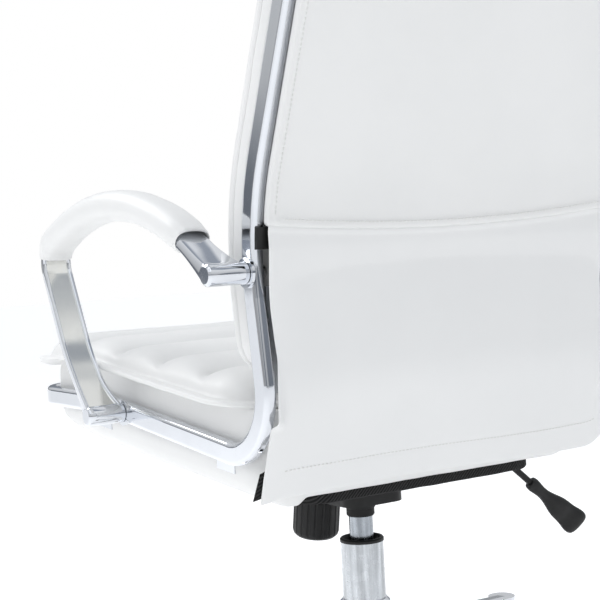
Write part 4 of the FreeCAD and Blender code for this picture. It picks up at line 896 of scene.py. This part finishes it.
def arm_strip(side):
    """Bright strip that loops over from boss to boss, flaring towards the frame at each end."""
    total = ARM_ALONG[-1]
    rings = []
    for (y, z), (dy, dz), s in zip(ARM_LINE, ARM_HEADING, ARM_ALONG):
        near = min(s, total - s)
        flare = np.clip((0.052 - near) / 0.046, 0, 1)
        inner = ARM_INNER - (ARM_INNER - BOSS_INNER) * flare ** 1.7
        thick = 0.0120 + 0.006 * flare ** 2
        rings.append([(x * side, y - dz * n, z + dy * n) for x, n in strip_section(inner, thick)])
    size = len(rings[0])
    points = [p for ring in rings for p in ring]
    faces = []
    for k in range(len(rings) - 1):
        for m in range(size):
            n = (m + 1) % size
            faces.append((k * size + m, k * size + n, (k + 1) * size + n, (k + 1) * size + m))
    faces.append(tuple(range(size)))
    faces.append(tuple((len(rings) - 1) * size + m for m in range(size)))
    label = "left" if side > 0 else "right"
    strip = new_object(f"arm_strip_{label}", points, faces, CHROME)
    strip.data.materials.append(CHROME_INNER)
    for polygon in strip.data.polygons:
        if len(polygon.vertices) == 4 and set(v % size for v in polygon.vertices) == {9, 10}:
            polygon.material_index = 1
    for index, (y, z) in enumerate((ARM_CORNERS[0], ARM_CORNERS[-1])):
        profile = [(BOSS_INNER, 0.0108), (BOSS_INNER + 0.0008, 0.0112), (ARM_OUTER - 0.0026, 0.0112),
                   (ARM_OUTER - 0.0019, 0.0109), (ARM_OUTER - 0.0001, 0.0092), (ARM_OUTER + 0.0004, 0.0084)]
        turns = 48
        vertices, boss_faces = [], []
        for x, r in profile:
            for k in range(turns):
                a = 2 * math.pi * k / turns
                vertices.append((x * side, y + r * math.cos(a), z + r * math.sin(a)))
        rows = len(profile)
        for k in range(rows - 1):
            for m in range(turns):
                n = (m + 1) % turns
                boss_faces.append((k * turns + m, k * turns + n, (k + 1) * turns + n, (k + 1) * turns + m))
        boss_faces.append(tuple(range(turns)))
        boss_faces.append(tuple((rows - 1) * turns + m for m in range(turns)))
        boss = new_object(f"boss_{label}_{index}", vertices, boss_faces, CHROME)
        union = strip.modifiers.new("join", "BOOLEAN")
        union.operation, union.solver, union.object = "UNION", "EXACT", boss
        apply_modifiers(strip)
        bpy.data.objects.remove(boss)
    sharpen(strip, 32)
    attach(strip, "chair")
    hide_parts(f"arm_{label}")


def sharpen(obj, degrees):
    """Smooth shading, except across edges sharper than this."""
    mesh = bmesh.new()
    mesh.from_mesh(obj.data)
    for edge in mesh.edges:
        if len(edge.link_faces) == 2:
            edge.smooth = edge.calc_face_angle(0) < math.radians(degrees)
    mesh.to_mesh(obj.data)
    mesh.free()


def arm_sleeve(side):
    """Stuffed leather tube on the arm's arc, gathered a little at both ends."""
    turns = 56
    centre_x = 0.265
    inside = [s for s in ARM_ALONG if SLEEVE_FROM < s < SLEEVE_TO]
    stations = [SLEEVE_FROM] + inside + [SLEEVE_TO]
    angles = np.linspace(0, 2 * math.pi, turns, endpoint=False)

    def ring(s, wide, thick, shift=0.0, power=2.3):
        y, z = (np.interp(s, ARM_ALONG, ARM_LINE[:, k]) for k in (0, 1))
        dy, dz = (np.interp(s, ARM_ALONG, ARM_HEADING[:, k]) for k in (0, 1))
        size = np.hypot(dy, dz)
        dy, dz = dy / size, dz / size
        c, q = np.cos(angles), np.sin(angles)
        across = np.sign(c) * np.abs(c) ** (2 / power) * wide / 2
        up = np.sign(q) * np.abs(q) ** (2 / power) * thick / 2 + shift
        return np.stack([(centre_x + across) * side, y - dz * up, z + dy * up], axis=1)

    outer = []
    for s in stations:
        end = min(s - SLEEVE_FROM, SLEEVE_TO - s)
        full = 1 - 0.10 * math.exp(-(end / 0.012) ** 2)
        shape = ring(s, 0.0424 * full, 0.0340 * full, 0.0004)
        pucker = np.sin(angles * 13 + 0.7 * np.sin(angles * 3)) * 0.00055 * math.exp(-end / 0.014)
        soft = wander(shape, 24.0, 40.0 + side) * 0.0007
        middle = ring(s, 0.002, 0.002)
        away = shape - middle
        away /= np.linalg.norm(away, axis=1, keepdims=True)
        outer.append(shape + away * (pucker + soft)[:, None])
    lips_start = [ring(SLEEVE_FROM - 0.0014, 0.0385, 0.0270, 0.0004), ring(SLEEVE_FROM - 0.0008, 0.0372, 0.0190),
                  ring(SLEEVE_FROM + 0.004, 0.0368, 0.0150, power=3.4)]
    lips_end = [ring(SLEEVE_TO + 0.0014, 0.0388, 0.0280, 0.0006), ring(SLEEVE_TO + 0.0010, 0.0376, 0.0215, 0.0010),
                ring(SLEEVE_TO - 0.004, 0.0370, 0.0165, 0.0008, 3.0),
                ring(SLEEVE_TO - 0.014, 0.0368, 0.0148, power=3.6)]
    tunnel = [ring(s, 0.0366, 0.0140, power=4.0) for s in stations if SLEEVE_FROM + 0.010 < s < SLEEVE_TO - 0.020]
    loops = outer + lips_end + tunnel[::-1] + lips_start[::-1]
    points = np.concatenate(loops)
    faces = []
    for k in range(len(loops)):
        after = (k + 1) % len(loops)
        for m in range(turns):
            n = (m + 1) % turns
            faces.append((k * turns + m, k * turns + n, after * turns + n, after * turns + m))
    label = "left" if side > 0 else "right"
    sleeve = new_object(f"arm_pad_{label}", points, faces, WHITE)
    held = np.ones(len(points))
    for k in range(len(outer)):
        end = min(k, len(outer) - 1 - k) / 6
        held[k * turns:(k + 1) * turns] = max(0.15, 1 - end)
    puff(sleeve, held, 3.0, 0.0016, 10)
    subdivide(sleeve)
    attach(sleeve, "chair")
    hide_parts(f"arm_sleeve_{label}")


# ---------------------------------------------------------------- build

def main():
    add_camera()
    add_world()
    add_light("key", (0.9, -1.6, 2.3), (0, -0.1, 0.45), 1.6, 26)
    add_light("fill", (1.8, 0.8, 2.4), (0, 0, 0.5), 2.2, 8)
    add_floor()
    dress_cad_nodes()
    coil_spring()
    seat_pad()
    seat_base()
    dust_cover()
    back_pad()
    back_cover()
    rear_stitches(back_apron())
    lining_corner()
    for side in (1, -1):
        arm_strip(side)
        arm_sleeve(side)
    scene = bpy.context.scene
    scene.view_settings.view_transform = "Standard"
    scene.view_settings.look = "None"
    scene.view_settings.exposure = 0.0


main()
